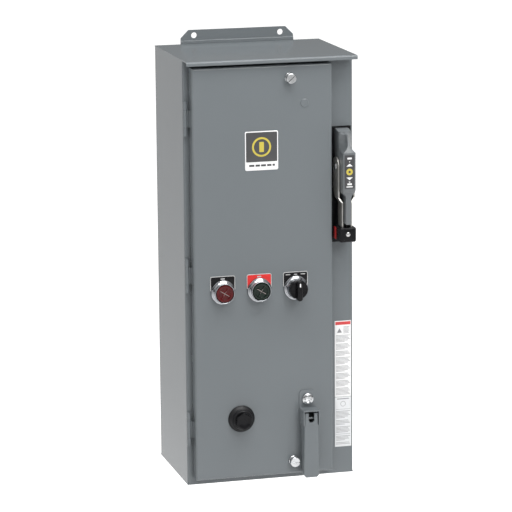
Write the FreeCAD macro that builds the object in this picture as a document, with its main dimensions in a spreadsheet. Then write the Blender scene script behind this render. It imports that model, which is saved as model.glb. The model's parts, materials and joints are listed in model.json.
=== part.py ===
import FreeCAD, Part
import os
import re
import Sketcher
from FreeCAD import Placement, Rotation, Vector

# Combination motor starter in a wall enclosure, millimetres.
# Origin: centre of the four wall holes, on the wall plane. +X right, +Y into the wall, +Z up.

doc = FreeCAD.newDocument("MotorStarter")

# ---------------------------------------------------------------- driving dimensions

DIMENSIONS = {
    # enclosure
    "body_width": 292, "body_height": 724, "body_depth": 202, "wall_gap": 2, "sheet": 1.9,
    "bend": 3, "left_flange": 10, "right_flange": 42, "flange_return": 13,
    "hood_reach": 30, "hood_lip": 7, "end_lip": 22, "knockout_large": 44, "knockout_small": 28,
    # wall mounting flanges
    "strap_width": 200, "strap_rise": 24, "strap_lap": 55, "strap_chamfer": 14,
    "bolt_span_x": 153, "bolt_span_z": 753, "bolt_hole": 10,
    # door
    "door_width": 240, "door_height": 700, "door_depth": 21, "door_gap": 1, "door_bend": 3.5,
    # hinges
    "hinge_inset": 2.5, "hinge_stand": 4, "knuckle": 6.5, "hinge_length": 58, "pin": 3.2,
    "hinge_gap": 0.3, "hinge_top_z": 265, "hinge_middle_z": 0.8, "hinge_low_z": -263.8,
    # pilot devices
    "device_z": -26.5, "device_pitch": 63, "device_centre_x": -24.2, "device_hole": 30.5,
    "legend_width": 43, "legend_rise": 5.5, "legend_foot": 3, "legend_sheet": 0.8,
    "nut_across": 41.5, "nut_deep": 4.5, "bezel": 34,
    "lens": 29.8, "sleeve_bore": 24, "knob": 31.5, "thread": 30,
    # reset
    "reset_x": -57, "reset_z": -247, "boot": 46, "reset_cap": 26, "reset_travel": 6,
    # latch
    "latch_x": 58.5, "plate_corner": 7, "latch_width": 28.5, "latch_top_z": -205, "latch_foot_z": -278,
    "latch_screw_z": -220.2, "shelf_z": -235, "shelf_reach": 26, "ear_drop": 26,
    "lever_top_z": -240, "lever_foot_z": -352, "lever_width": 23, "lever_foot_width": 27.5,
    "lever_sheet": 2, "latch_pin": 4, "latch_pin_z": -250, "latch_pin_out": 19,
    # door screws, plug and badge
    "screw_top_x": 30.6, "screw_top_z": 328.4, "screw_low_x": 34, "screw_low_z": -327.2,
    "screw_head": 16, "screw_out": 13, "screw_shank": 8,
    "plug_x": 56.4, "plug_z": 285, "plug": 15,
    "badge_x": -18.2, "badge_z": 208.7, "badge_width": 56.7, "badge_height": 65.5, "badge_sheet": 0.6,
    # disconnect handle
    "pivot_x": 125, "pivot_out": 18.5, "pivot_z": 175, "shaft": 6, "drive_arm": 34, "housing_width": 22,
    "yoke_sheet": 2, "yoke_inner": 24.8, "yoke_eye": 16, "yoke_step": 5.5, "step_high_z": 123.5,
    "step_low_z": 115.5, "grip_width": 29, "grip_high_z": 74.5, "grip_low_z": 49,
    "grip_front": 43.5, "grip_rear": 9.5, "backing_width": 35, "backing_sheet": 1.6,
    # flange labels
    "label_width": 29, "label_sheet": 0.3,
    # back panel
    "panel_width": 236, "panel_height": 640, "panel_front": 24, "panel_sheet": 2, "panel_lip": 8,
    "stud_x": 105, "stud_z": 300,
    # disconnect switch and fuses
    "pole_pitch": 52, "switch_x": -24, "switch_low_z": 80, "switch_high_z": 280,
    "blade_pivot_z": 125, "blade_pivot_y": -60, "blade_sheet": 3, "blade_length": 92,
    "fuse_top_z": 66, "fuse_low_z": -6, "fuse_y": -50, "fuse": 21,
    # contactor, overload relay, transformer and ground lug
    "contactor_x": -52, "contactor_z": -124, "contactor_width": 92, "contactor_height": 104,
    "overload_z": -232, "overload_height": 78, "transformer_x": 62, "transformer_z": -110,
}


def fill_sheet():
    sheet = doc.addObject("Spreadsheet::Sheet", "Dims")
    for row, (alias, value) in enumerate(DIMENSIONS.items(), start=1):
        sheet.set("A%d" % row, alias)
        sheet.set("B%d" % row, str(value))
        sheet.setAlias("B%d" % row, alias)
    doc.recompute()
    return sheet


dims = fill_sheet()

# Faces that many pieces share, measured from the wall plane and the middle of the case.
LEFT = "(-body_width / 2)"
RIGHT = "(body_width / 2)"
TOP = "(body_height / 2)"
FRONT = "(-body_depth)"
DOOR_LEFT = "(-body_width / 2 + left_flange)"
DOOR_RIGHT = "(-body_width / 2 + left_flange + door_width)"
DOOR_BACK = "(-body_depth - door_gap)"
DOOR_FACE = "(-body_depth - door_gap - door_depth)"
DOOR_INSIDE = "(-body_depth - door_gap - door_depth + sheet)"
PANEL = "(-panel_front)"
HINGE_X = "(-body_width / 2 + hinge_inset)"
HINGE_Y = "(-body_depth - hinge_stand)"
PIVOT_Y = "(-body_depth - pivot_out)"
WORD = re.compile(r"[A-Za-z_]\w*")


def linked(expression):
    """The expression with each alias pointed at the sheet."""
    def point(match):
        word = match.group(0)
        return "Dims." + word if word in DIMENSIONS else word
    return WORD.sub(point, str(expression))


def number(expression):
    """The expression's value, for a sketch's first guess and for choosing edges."""
    return float(dims.evalExpression(linked(expression)))


# ---------------------------------------------------------------- helpers

SUB_PARTS = {}
AXES = {
    "X": Rotation(Vector(0, 0, 1), Vector(1, 0, 0)),
    "Y": Rotation(Vector(0, 0, 1), Vector(0, 1, 0)),
    "Z": Rotation(),
}


def keep(label, shape_object):
    """Names a finished sub-part; its label is also its file's name."""
    shape_object.Label = label
    SUB_PARTS[label] = shape_object
    return shape_object


def place(solid, at, turn=None):
    if turn is not None:
        solid.Placement = Placement(Vector(), turn)
    for letter, expression in zip("xyz", at):
        solid.setExpression("Placement.Base." + letter, linked(expression))
    return solid


def block(x, y, z):
    """A box between two corners, each side given as (low, high)."""
    solid = doc.addObject("Part::Box", "Block")
    for side, (low, high) in zip(("Length", "Width", "Height"), (x, y, z)):
        solid.setExpression(side, linked("(%s) - (%s)" % (high, low)))
    return place(solid, (x[0], y[0], z[0]))


def rod(diameter, length, at, axis="Z"):
    """A cylinder that starts at a point and runs along +X, +Y or +Z."""
    solid = doc.addObject("Part::Cylinder", "Rod")
    solid.setExpression("Radius", linked("(%s) / 2" % diameter))
    solid.setExpression("Height", linked(length))
    return place(solid, at, AXES[axis])


def taper(start, end, length, at, axis="Z"):
    """A cone frustum given by its two diameters."""
    solid = doc.addObject("Part::Cone", "Taper")
    solid.setExpression("Radius1", linked("(%s) / 2" % start))
    solid.setExpression("Radius2", linked("(%s) / 2" % end))
    solid.setExpression("Height", linked(length))
    return place(solid, at, AXES[axis])


def ball(diameter, at):
    solid = doc.addObject("Part::Sphere", "Ball")
    solid.setExpression("Radius", linked("(%s) / 2" % diameter))
    return place(solid, at)


def fuse(*solids):
    joined = doc.addObject("Part::MultiFuse", "Joined")
    joined.Shapes = list(solids)
    joined.Refine = True
    return joined


def cut(base, *tools):
    result = doc.addObject("Part::Cut", "Cut")
    result.Base = base
    result.Tool = tools[0] if len(tools) == 1 else fuse(*tools)
    result.Refine = True
    return result


def overlap(first, second):
    """What two solids share."""
    shared = doc.addObject("Part::Common", "Shared")
    shared.Base, shared.Tool = first, second
    return shared


def group(*solids):
    """Several separate solids that make one sub-part."""
    compound = doc.addObject("Part::Compound", "Group")
    compound.Links = list(solids)
    return compound


def tube(outer, inner, length, at, axis="Z"):
    return cut(rod(outer, length, at, axis), rod(inner, length, at, axis))


def origin_plane(body, role):
    return next(f for f in body.Origin.OriginFeatures if f.Role == role)


def new_body(name):
    return doc.addObject("PartDesign::Body", name)


def sketch(body, role, offset="0"):
    """An empty sketch on one of the body's own origin planes, offset along the plane's normal.

    XY faces +Z, YZ faces +X and XZ faces -Y.
    """
    drawing = body.newObject("Sketcher::SketchObject", "Sketch")
    drawing.AttachmentSupport = [(origin_plane(body, role), "")]
    drawing.MapMode = "FlatFace"
    drawing.setExpression("AttachmentOffset.Base.z", linked(offset))
    return drawing


def outline(drawing, points):
    """A closed outline of straight edges whose corners are bound to the sheet."""
    first = drawing.GeometryCount
    guesses = [Vector(number(u), number(v), 0) for u, v in points]
    for here, after in zip(guesses, guesses[1:] + guesses[:1]):
        drawing.addGeometry(Part.LineSegment(here, after), False)
    for index, (u, v) in enumerate(points):
        following = first + (index + 1) % len(points)
        drawing.addConstraint(Sketcher.Constraint("Coincident", first + index, 2, following, 1))
    for index, corner in enumerate(points):
        for way, expression, guess in zip(("DistanceX", "DistanceY"), corner, guesses[index]):
            rule = drawing.addConstraint(Sketcher.Constraint(way, -1, 1, first + index, 1, guess))
            drawing.setExpression("Constraints[%d]" % rule, linked(expression))
    return drawing


def circle(drawing, diameter, u, v):
    """A circle bound to the sheet."""
    index = drawing.GeometryCount
    centre = Vector(number(u), number(v), 0)
    drawing.addGeometry(Part.Circle(centre, Vector(0, 0, 1), number(diameter) / 2), False)
    rule = drawing.addConstraint(Sketcher.Constraint("Radius", index, number(diameter) / 2))
    drawing.setExpression("Constraints[%d]" % rule, linked("(%s) / 2" % diameter))
    for way, expression, guess in (("DistanceX", u, centre.x), ("DistanceY", v, centre.y)):
        rule = drawing.addConstraint(Sketcher.Constraint(way, -1, 1, index, 3, guess))
        drawing.setExpression("Constraints[%d]" % rule, linked(expression))
    return drawing


def pad(body, drawing, length, both_ways=False):
    feature = body.newObject("PartDesign::Pad", "Pad")
    feature.Profile = drawing
    feature.setExpression("Length", linked(length))
    feature.Midplane = both_ways
    doc.recompute()
    return feature


def pocket(body, drawing, length, reverse=False):
    """Cuts along -normal of the sketch, or along its normal when reversed."""
    before = body.Shape.Volume
    feature = body.newObject("PartDesign::Pocket", "Pocket")
    feature.Profile = drawing
    feature.setExpression("Length", linked(length))
    feature.Reversed = reverse
    doc.recompute()
    if body.Shape.Volume > before - 0.01:
        raise RuntimeError("a pocket in %s cut nothing" % body.Name)
    return feature


def round_edges(body, radius, chosen):
    """Rounds the edges of the body's last feature for which chosen(edge) is true."""
    tip = body.Tip
    names = ["Edge%d" % (i + 1) for i, edge in enumerate(tip.Shape.Edges) if chosen(edge)]
    feature = body.newObject("PartDesign::Fillet", "Round")
    feature.Base = (tip, names)
    feature.setExpression("Radius", linked(radius))
    doc.recompute()
    return feature


def along(edge, letter):
    """True for a straight edge parallel to the named axis."""
    if not isinstance(edge.Curve, Part.Line):
        return False
    return abs(getattr(edge.Curve.Direction, letter)) > 0.999


def middle(edge):
    return edge.BoundBox.Center


def near(value, expression, tolerance=0.2):
    return abs(value - number(expression)) < tolerance


def slab(name, role, corners, thickness, offset="0", both_ways=False):
    """A body with one padded outline."""
    body = new_body(name)
    pad(body, outline(sketch(body, role, offset), corners), thickness, both_ways)
    return body


def rectangle(u, v):
    return [(u[0], v[0]), (u[1], v[0]), (u[1], v[1]), (u[0], v[1])]


# ---------------------------------------------------------------- enclosure

def make_enclosure_wrap():
    """Back, sides and front flanges folded from one sheet, with the slot for the drive arm."""
    strip = "(body_width / 2 - right_flange)"
    rail = "(-body_width / 2 + left_flange)"
    back = "(-wall_gap)"
    corners = [
        (LEFT, back), (RIGHT, back), (RIGHT, FRONT), (strip, FRONT),
        (strip, FRONT + " + flange_return"), (strip + " + sheet", FRONT + " + flange_return"),
        (strip + " + sheet", FRONT + " + sheet"), (RIGHT + " - sheet", FRONT + " + sheet"),
        (RIGHT + " - sheet", back + " - sheet"), (LEFT + " + sheet", back + " - sheet"),
        (LEFT + " + sheet", FRONT + " + sheet"), (rail + " - sheet", FRONT + " + sheet"),
        (rail + " - sheet", FRONT + " + flange_return"), (rail, FRONT + " + flange_return"),
        (rail, FRONT), (LEFT, FRONT),
    ]
    body = slab("enclosure_wrap", "XY_Plane", corners, "body_height - 2 * sheet",
                both_ways=True)

    def outer_bend(edge):
        at = middle(edge)
        return along(edge, "z") and near(abs(at.x), "body_width / 2")

    def inner_bend(edge):
        at = middle(edge)
        return along(edge, "z") and near(abs(at.x), "body_width / 2 - sheet")

    round_edges(body, "bend", outer_bend)
    round_edges(body, "bend - sheet", inner_bend)
    slot = rectangle(("pivot_x - 6", "pivot_x + 6"), ("pivot_z - 38", "pivot_z + 42"))
    drawing = outline(sketch(body, "XZ_Plane", "body_depth + 1"), slot)
    pocket(body, drawing, "sheet + 2")
    return keep("enclosure_wrap", body)


def front_lip(low, high):
    """Strip that closes the case's front between the side flanges, at an end plate."""
    return block((DOOR_LEFT, "body_width / 2 - right_flange"), (FRONT, FRONT + " + sheet"), (low, high))


def make_top_hood():
    """Top plate that runs out over the door to a short drip lip, with the case's upper front lip."""
    out = "(-body_depth - hood_reach)"
    corners = [
        ("-wall_gap", TOP), (out, TOP), (out, TOP + " - hood_lip"),
        (out + " + sheet", TOP + " - hood_lip"), (out + " + sheet", TOP + " - sheet"),
        ("-wall_gap", TOP + " - sheet"),
    ]
    body = slab("top_hood", "YZ_Plane", corners, "body_width", both_ways=True)

    def front_bend(edge):
        at = middle(edge)
        return along(edge, "x") and near(at.y, out) and near(at.z, TOP)

    def inner_bend(edge):
        at = middle(edge)
        return along(edge, "x") and near(at.y, out + " + sheet") and near(at.z, TOP + " - sheet")

    round_edges(body, "bend", front_bend)
    round_edges(body, "bend - sheet", inner_bend)
    return keep("top_hood", fuse(body, front_lip(TOP + " - end_lip", TOP + " - sheet")))


def make_bottom_end():
    """Bottom plate with the grooves of three conduit knockouts and the case's lower front lip."""
    plate = block((LEFT, RIGHT), (FRONT, "-wall_gap"), ("-body_height / 2", "-body_height / 2 + sheet"))
    rings = []
    for x, size in ((-70, "knockout_small"), (0, "knockout_large"), (70, "knockout_small")):
        at = (x, "-95", "-body_height / 2 - 1")
        rings.append(tube(size, size + " - 1.6", "sheet / 2 + 1", at))
        rings.append(tube(size + " - 9", size + " - 10.6", "sheet / 2 + 1", at))
    lip = front_lip("-body_height / 2 + sheet", "-body_height / 2 + end_lip")
    return keep("bottom_end", cut(fuse(plate, lip), *rings))


def make_mounting_flange(label, side):
    """Joggled strap with two wall holes; side is +1 at the top and -1 at the bottom."""
    edge = "%d * (body_height / 2 + strap_rise)" % side
    shoulder = "%d * (body_height / 2 + strap_rise - strap_chamfer)" % side
    inner = "%d * (body_height / 2 - strap_lap)" % side
    half = "(strap_width / 2)"
    corners = [
        ("-" + half, inner), (half, inner), (half, shoulder), (half + " - strap_chamfer", edge),
        ("-" + half + " + strap_chamfer", edge), ("-" + half, shoulder),
    ]
    body = slab(label, "XZ_Plane", corners, "wall_gap")
    step = "%d * (body_height / 2 + 6)" % side
    root = "%d * (body_height / 2 + 0.2)" % side
    fold = outline(sketch(body, "XZ_Plane", "wall_gap - 0.1"),
                   rectangle(("-" + half, half), (root, step)))
    pad(body, fold, "1.6")

    def fold_edge(line):
        at = middle(line)
        return along(line, "x") and near(at.z, step) and at.y < -number("wall_gap") - 1

    round_edges(body, "1.2", fold_edge)
    holes = sketch(body, "XZ_Plane", "-1")
    for way in (-1, 1):
        circle(holes, "bolt_hole", "%d * bolt_span_x / 2" % way, "%d * bolt_span_z / 2" % side)
    pocket(body, holes, "wall_gap + 4", reverse=True)
    return keep(label, body)


HINGES = ("hinge_top_z", "hinge_middle_z", "hinge_low_z")


def make_hinges():
    """Three weld-on butt hinges: two case knuckles and one door knuckle round each pin."""
    case_knuckles = []
    door_leaves = []
    pins = []
    for z in HINGES:
        for low, high in (("- hinge_length / 2", "- hinge_length / 4 - hinge_gap"),
                          ("+ hinge_length / 4 + hinge_gap", "+ hinge_length / 2")):
            low, high = "%s %s" % (z, low), "%s %s" % (z, high)
            length = "(%s) - (%s)" % (high, low)
            barrel = rod("knuckle", length, (HINGE_X, HINGE_Y, low))
            foot = block((LEFT + " + 0.6", LEFT + " + left_flange - 2.5"),
                         (FRONT + " - 2", FRONT), (low, high))
            bore = rod("pin", length, (HINGE_X, HINGE_Y, low))
            case_knuckles.append(cut(fuse(barrel, foot), bore))
        low, high = "%s - hinge_length / 4" % z, "%s + hinge_length / 4" % z
        barrel = rod("knuckle", "hinge_length / 2", (HINGE_X, HINGE_Y, low))
        bridge = block((HINGE_X, DOOR_LEFT), (HINGE_Y + " - 0.4", HINGE_Y + " + 1.2"), (low, high))
        leaf = block((DOOR_LEFT + " - 1.6", DOOR_LEFT), (HINGE_Y + " - 5", HINGE_Y + " + 1.2"),
                     (low, high))
        bore = rod("pin + 0.1", "hinge_length / 2", (HINGE_X, HINGE_Y, low))
        door_leaves.append(cut(fuse(barrel, bridge, leaf), bore))
        shaft = rod("pin", "hinge_length", (HINGE_X, HINGE_Y, "%s - hinge_length / 2" % z))
        crown = rod("pin + 1.6", "1", (HINGE_X, HINGE_Y, "%s + hinge_length / 2" % z))
        pins.append(fuse(shaft, crown))
    keep("hinge_frame_knuckles", group(*case_knuckles))
    keep("hinge_door_leaves", group(*door_leaves))
    keep("hinge_pins", group(*pins))


# ---------------------------------------------------------------- door

DEVICES = ("device_centre_x - device_pitch", "device_centre_x", "device_centre_x + device_pitch")


def make_door_panel():
    """Pan door: a face with folded returns, and every hole that a device needs."""
    body = slab("door_panel", "XZ_Plane",
                rectangle((DOOR_LEFT, DOOR_RIGHT), ("-door_height / 2", "door_height / 2")),
                "door_depth", "body_depth + door_gap")

    def face_bend(edge):
        return near(middle(edge).y, DOOR_FACE) and (along(edge, "x") or along(edge, "z"))

    round_edges(body, "door_bend", face_bend)
    hollow = rectangle((DOOR_LEFT + " + sheet", DOOR_RIGHT + " - sheet"),
                       ("-door_height / 2 + sheet", "door_height / 2 - sheet"))
    drawing = outline(sketch(body, "XZ_Plane", "body_depth + door_gap"), hollow)
    pocket(body, drawing, "door_depth - sheet", reverse=True)
    holes = sketch(body, "XZ_Plane", "body_depth + door_gap + 5")
    for x in DEVICES:
        circle(holes, "device_hole", x, "device_z")
    circle(holes, "thread", "reset_x", "reset_z")
    circle(holes, "screw_shank + 2", "screw_top_x", "screw_top_z")
    circle(holes, "screw_shank + 2", "screw_low_x", "screw_low_z")
    circle(holes, "plug - 3", "plug_x", "plug_z")
    circle(holes, "6", "latch_x", "latch_screw_z")
    pocket(body, holes, "door_depth", reverse=True)
    return keep("door_panel", body)


def make_door_gasket():
    """Foam strip on the back of the door face, just inside its returns."""
    margin = " + sheet + 1"
    y = (DOOR_INSIDE, DOOR_INSIDE + " + 5")
    outer = block((DOOR_LEFT + margin, DOOR_RIGHT + " - sheet - 1"), y,
                  ("-door_height / 2" + margin, "door_height / 2 - sheet - 1"))
    inner = block((DOOR_LEFT + margin + " + 9", DOOR_RIGHT + " - sheet - 10"), y,
                  ("-door_height / 2" + margin + " + 9", "door_height / 2 - sheet - 10"))
    return keep("door_gasket", cut(outer, inner))


def make_badge_and_plug():
    badge = block(("badge_x - badge_width / 2", "badge_x + badge_width / 2"),
                  (DOOR_FACE + " - badge_sheet", DOOR_FACE),
                  ("badge_z - badge_height / 2", "badge_z + badge_height / 2"))
    keep("nameplate", badge)
    cap = taper("plug - 2", "plug", "1.2", ("plug_x", DOOR_FACE + " - 1.2", "plug_z"), "Y")
    stem = rod("plug - 3", "6", ("plug_x", DOOR_FACE + " - 0.2", "plug_z"), "Y")
    keep("hole_plug", fuse(cap, stem))


def make_door_screw(label, x, z):
    """Captive slotted screw: washer, cylindrical head with a slanted slot, shank and tip."""
    slot = block(("%s - screw_head" % x, "%s + screw_head" % x),
                 (DOOR_FACE + " - screw_out - 1", DOOR_FACE + " - screw_out + 2"),
                 ("%s - 1" % z, "%s + 1" % z))
    head = cut(rod("screw_head", "screw_out - 2.2", (x, DOOR_FACE + " - screw_out", z), "Y"), slot)
    collar = rod("screw_head + 1.5", "2", (x, DOOR_FACE + " - 2.2", z), "Y")
    shank = rod("screw_shank", "29", (x, DOOR_FACE + " - 2.2", z), "Y")
    keep(label, fuse(head, collar, shank))


def make_screw_receptacles():
    """Clips behind the front edge that the door screws reach into."""
    clips = []
    for x, z, side in (("screw_top_x", "screw_top_z", 1), ("screw_low_x", "screw_low_z", -1)):
        plate = block((x + " - 14", x + " + 14"), (FRONT + " + 6", FRONT + " + 9"),
                      tuple(sorted(("%s + %d" % (z, side * 31), "%s + %d" % (z, -side * 12)),
                                   key=number)))
        foot = block((x + " - 14", x + " + 14"), (FRONT + " + 6", FRONT + " + 24"),
                     tuple(sorted(("%d * (body_height / 2 - sheet)" % side,
                                   "%d * (body_height / 2 - sheet - 2)" % side), key=number)))
        hole = rod("screw_shank + 1", "5", (x, FRONT + " + 5", z), "Y")
        clips.append(cut(fuse(plate, foot), hole))
    keep("screw_receptacles", group(*clips))


# ---------------------------------------------------------------- pilot devices

def make_legend_plate(x):
    """Square above the device and round below it, with the hole the device goes through."""
    half = "(legend_width / 2)"
    y = DOOR_FACE + " - legend_sheet"
    upper = block(("%s - %s" % (x, half), "%s + %s" % (x, half)), (y, DOOR_FACE),
                  ("device_z + legend_foot", "device_z + legend_width / 2 + legend_rise"))
    lower = rod("nut_across - 2", "legend_sheet", (x, y, "device_z"), "Y")
    hole = rod("device_hole", "4", (x, y + " - 1", "device_z"), "Y")
    return cut(fuse(upper, lower), hole)


NUT_FACE = "(-body_depth - door_gap - door_depth - legend_sheet - nut_deep)"


def make_ring_nut(x):
    """Chromed ring nut with wrench notches round its rim."""
    y = NUT_FACE
    rim = rod("nut_across", "nut_deep - 1.2", (x, y + " + 1.2", "device_z"), "Y")
    face = taper("nut_across - 3", "nut_across", "1.2", (x, y, "device_z"), "Y")
    bore = rod("thread + 0.6", "nut_deep + 2", (x, y + " - 1", "device_z"), "Y")
    notches = []
    for step in range(8):
        notch = block(("-1.5", "1.5"), (y + " - 1", y + " + nut_deep - 1"),
                      ("nut_across / 2 - 1.6", "nut_across / 2 + 2"))
        turn = Rotation(Vector(0, 1, 0), step * 45)
        carrier = group(notch)
        place(carrier, (x, "0", "device_z"), turn)
        notches.append(carrier)
    return cut(fuse(rim, face), bore, *notches)


def make_bezel(x, reach):
    """Stepped chromed bezel whose threaded sleeve runs back through the door."""
    y = NUT_FACE
    flange = taper("bezel - 1.6", "bezel", "2.2", (x, y + " - 2.4", "device_z"), "Y")
    step = rod("bezel - 2.4", reach + " - 2", (x, "%s - %s" % (y, reach), "device_z"), "Y")
    sleeve = rod("thread", "22", (x, y + " - 0.4", "device_z"), "Y")
    bore = rod("sleeve_bore", "60", (x, y + " - 20", "device_z"), "Y")
    return cut(fuse(flange, step, sleeve), bore)


def make_lens(x):
    """Round push lens with crossed facets sunk into its face."""
    y = NUT_FACE
    stem = rod("sleeve_bore - 0.6", "11", (x, y + " - 6", "device_z"), "Y")
    cap = rod("lens - 1.2", "4.6", (x, y + " - 9.9", "device_z"), "Y")
    crown = taper("lens - 4.2", "lens - 1.2", "1.6", (x, y + " - 11.5", "device_z"), "Y")
    solid = fuse(stem, cap, crown)
    grooves = []
    for angle in (45, 135):
        bar = group(block(("-lens / 2 + 5", "lens / 2 - 5"), (y + " - 13", y + " - 10.4"), ("-1", "1")))
        grooves.append(place(bar, (x, "0", "device_z"), Rotation(Vector(0, 1, 0), angle)))
    return cut(solid, *grooves)


def make_selector_knob(x):
    """Knob turned on the selector's sleeve: a drum with a bar grip across it."""
    y = NUT_FACE
    drum = rod("knob", "7.8", (x, y + " - 17.2", "device_z"), "Y")
    rim = taper("knob - 2", "knob", "1", (x, y + " - 18.2", "device_z"), "Y")
    grip = block((x + " - 4.5", x + " + 4.5"), (y + " - 26.2", y + " - 17"),
                 ("device_z - knob / 2 + 2", "device_z + knob / 2 - 1"))
    bar_tail = rod("9", "9.2", (x, y + " - 26.2", "device_z - knob / 2 + 2"), "Y")
    stem = rod("sleeve_bore - 0.6", "18", (x, y + " - 12", "device_z"), "Y")
    window = block((x + " - 1.2", x + " + 1.2"), (y + " - 27", y + " - 25.6"),
                   ("device_z + 6", "device_z + knob / 2 - 2"))
    return keep("selector_knob", cut(fuse(drum, rim, grip, bar_tail, stem), window))


def make_operator_block(x, wide, tall, deep):
    """Housing behind the door, held by the bezel's sleeve."""
    y = DOOR_INSIDE
    collar = tube("thread + 8", "thread + 0.6", "6", (x, y + " + 0.2", "device_z"), "Y")
    case = block(("%s - %s / 2" % (x, wide), "%s + %s / 2" % (x, wide)),
                 (y + " + 16", "%s + 16 + %s" % (y, deep)),
                 ("device_z - %s / 2" % tall, "device_z + %s / 2" % tall))
    neck = tube("thread + 8", "thread + 0.6", "11", (x, y + " + 6", "device_z"), "Y")
    return fuse(collar, neck, case)


def make_devices():
    red_light, green_light, selector = DEVICES
    keep("legend_plates_black", group(make_legend_plate(red_light), make_legend_plate(selector)))
    keep("legend_plate_red", make_legend_plate(green_light))
    keep("ring_nuts", group(*[make_ring_nut(x) for x in DEVICES]))
    bezels = ((red_light, "5"), (green_light, "5"), (selector, "9"))
    keep("operator_bezels", group(*[make_bezel(*bezel) for bezel in bezels]))
    keep("lens_red", make_lens(red_light))
    keep("lens_green", make_lens(green_light))
    make_selector_knob(selector)
    sizes = ((red_light, 34, 40, 26), (green_light, 34, 40, 26), (selector, 36, 46, 24))
    keep("operator_blocks", group(*[make_operator_block(*size) for size in sizes]))


# ---------------------------------------------------------------- overload reset

def make_reset():
    """Rubber boot on the door and the plunger that slides through it to the relay."""
    at = ("reset_x", DOOR_FACE + " - 6", "reset_z")
    skirt = taper("boot - 6", "boot", "6", at, "Y")
    collar = tube("boot - 12", "sleeve_bore - 4", "6", ("reset_x", DOOR_FACE + " - 12", "reset_z"), "Y")
    sleeve = rod("thread - 0.8", "16", ("reset_x", DOOR_FACE + " - 1", "reset_z"), "Y")
    back_nut = tube("thread + 10", "thread - 0.8", "5", ("reset_x", DOOR_INSIDE + " + 0.1", "reset_z"), "Y")
    bore = rod("sleeve_bore - 4", "60", ("reset_x", DOOR_FACE + " - 20", "reset_z"), "Y")
    keep("reset_boot", cut(fuse(skirt, collar, sleeve, back_nut), bore))
    stem = rod("sleeve_bore - 4.1", "40", ("reset_x", DOOR_FACE + " - 20", "reset_z"), "Y")
    reach = "%s - 67 - (%s + 19)" % (PANEL, DOOR_FACE)
    push_rod = rod("8", reach, ("reset_x", DOOR_FACE + " + 19", "reset_z"), "Y")
    cap = hexagon("reset_cap", "3.4", DOOR_FACE + " - 22")
    keep("reset_button", fuse(stem, push_rod, cap))


def hexagon(across, thick, front):
    """Six-sided cap of the reset plunger, points up and down."""
    body = new_body("hexagon")
    drawing = sketch(body, "XZ_Plane", "-(%s) - %s" % (front, thick))
    reach = "%s / sqrt(3)" % across
    corners = [
        ("reset_x", "reset_z - " + reach), ("reset_x + %s / 2" % across, "reset_z - %s / 2" % reach),
        ("reset_x + %s / 2" % across, "reset_z + %s / 2" % reach), ("reset_x", "reset_z + " + reach),
        ("reset_x - %s / 2" % across, "reset_z + %s / 2" % reach),
        ("reset_x - %s / 2" % across, "reset_z - %s / 2" % reach),
    ]
    pad(body, outline(drawing, corners), thick)
    return body


# ---------------------------------------------------------------- door latch

def make_latch():
    """Plate with a forward shelf and two ears, its screw, and the lever hinged between the ears."""
    half = "(latch_width / 2)"
    left, right = "latch_x - " + half, "latch_x + " + half
    out = (DOOR_FACE + " - shelf_reach - 2", DOOR_FACE)
    plate = block((left, right), (DOOR_FACE + " - 2", DOOR_FACE),
                  ("latch_foot_z", "latch_top_z - plate_corner"))
    crown = block((left + " + plate_corner", right + " - plate_corner"), (DOOR_FACE + " - 2", DOOR_FACE),
                  ("latch_top_z - plate_corner - 1", "latch_top_z"))
    rounds = [rod("2 * plate_corner", "2", (x, DOOR_FACE + " - 2", "latch_top_z - plate_corner"), "Y")
              for x in (left + " + plate_corner", right + " - plate_corner")]
    shelf = block((left, right), out, ("shelf_z - 2", "shelf_z"))
    ears = [block(side, out, ("shelf_z - ear_drop", "shelf_z"))
            for side in ((left, left + " + 1.8"), (right + " - 1.8", right))]
    pin_line = DOOR_FACE + " - latch_pin_out"
    bore = rod("latch_pin", "latch_width + 4", (left + " - 2", pin_line, "latch_pin_z"), "X")
    hole = rod("6", "6", ("latch_x", DOOR_FACE + " - 4", "latch_screw_z"), "Y")
    keep("latch_plate", cut(fuse(plate, crown, shelf, *rounds, *ears), bore, hole))
    keep("latch_pin", rod("latch_pin", "latch_width + 1.6", (left + " - 0.8", pin_line, "latch_pin_z"), "X"))
    make_latch_screw()
    make_latch_lever()


def make_latch_screw():
    """Big pan-head screw with a cross recess."""
    x, z = "latch_x", "latch_screw_z"
    y = DOOR_FACE + " - 2"
    head = rod("20.5", "4", (x, y + " - 4", z), "Y")
    crown = taper("15", "20.5", "1.6", (x, y + " - 5.6", z), "Y")
    shank = rod("6", "12", (x, y, z), "Y")
    recess = (y + " - 7", y + " - 3")
    arms = [
        block((x + " - 5.5", x + " + 5.5"), recess, (z + " - 1.4", z + " + 1.4")),
        block((x + " - 1.4", x + " + 1.4"), recess, (z + " - 5.5", z + " + 5.5")),
    ]
    keep("latch_screw", cut(fuse(head, crown, shank), *arms))


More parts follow.
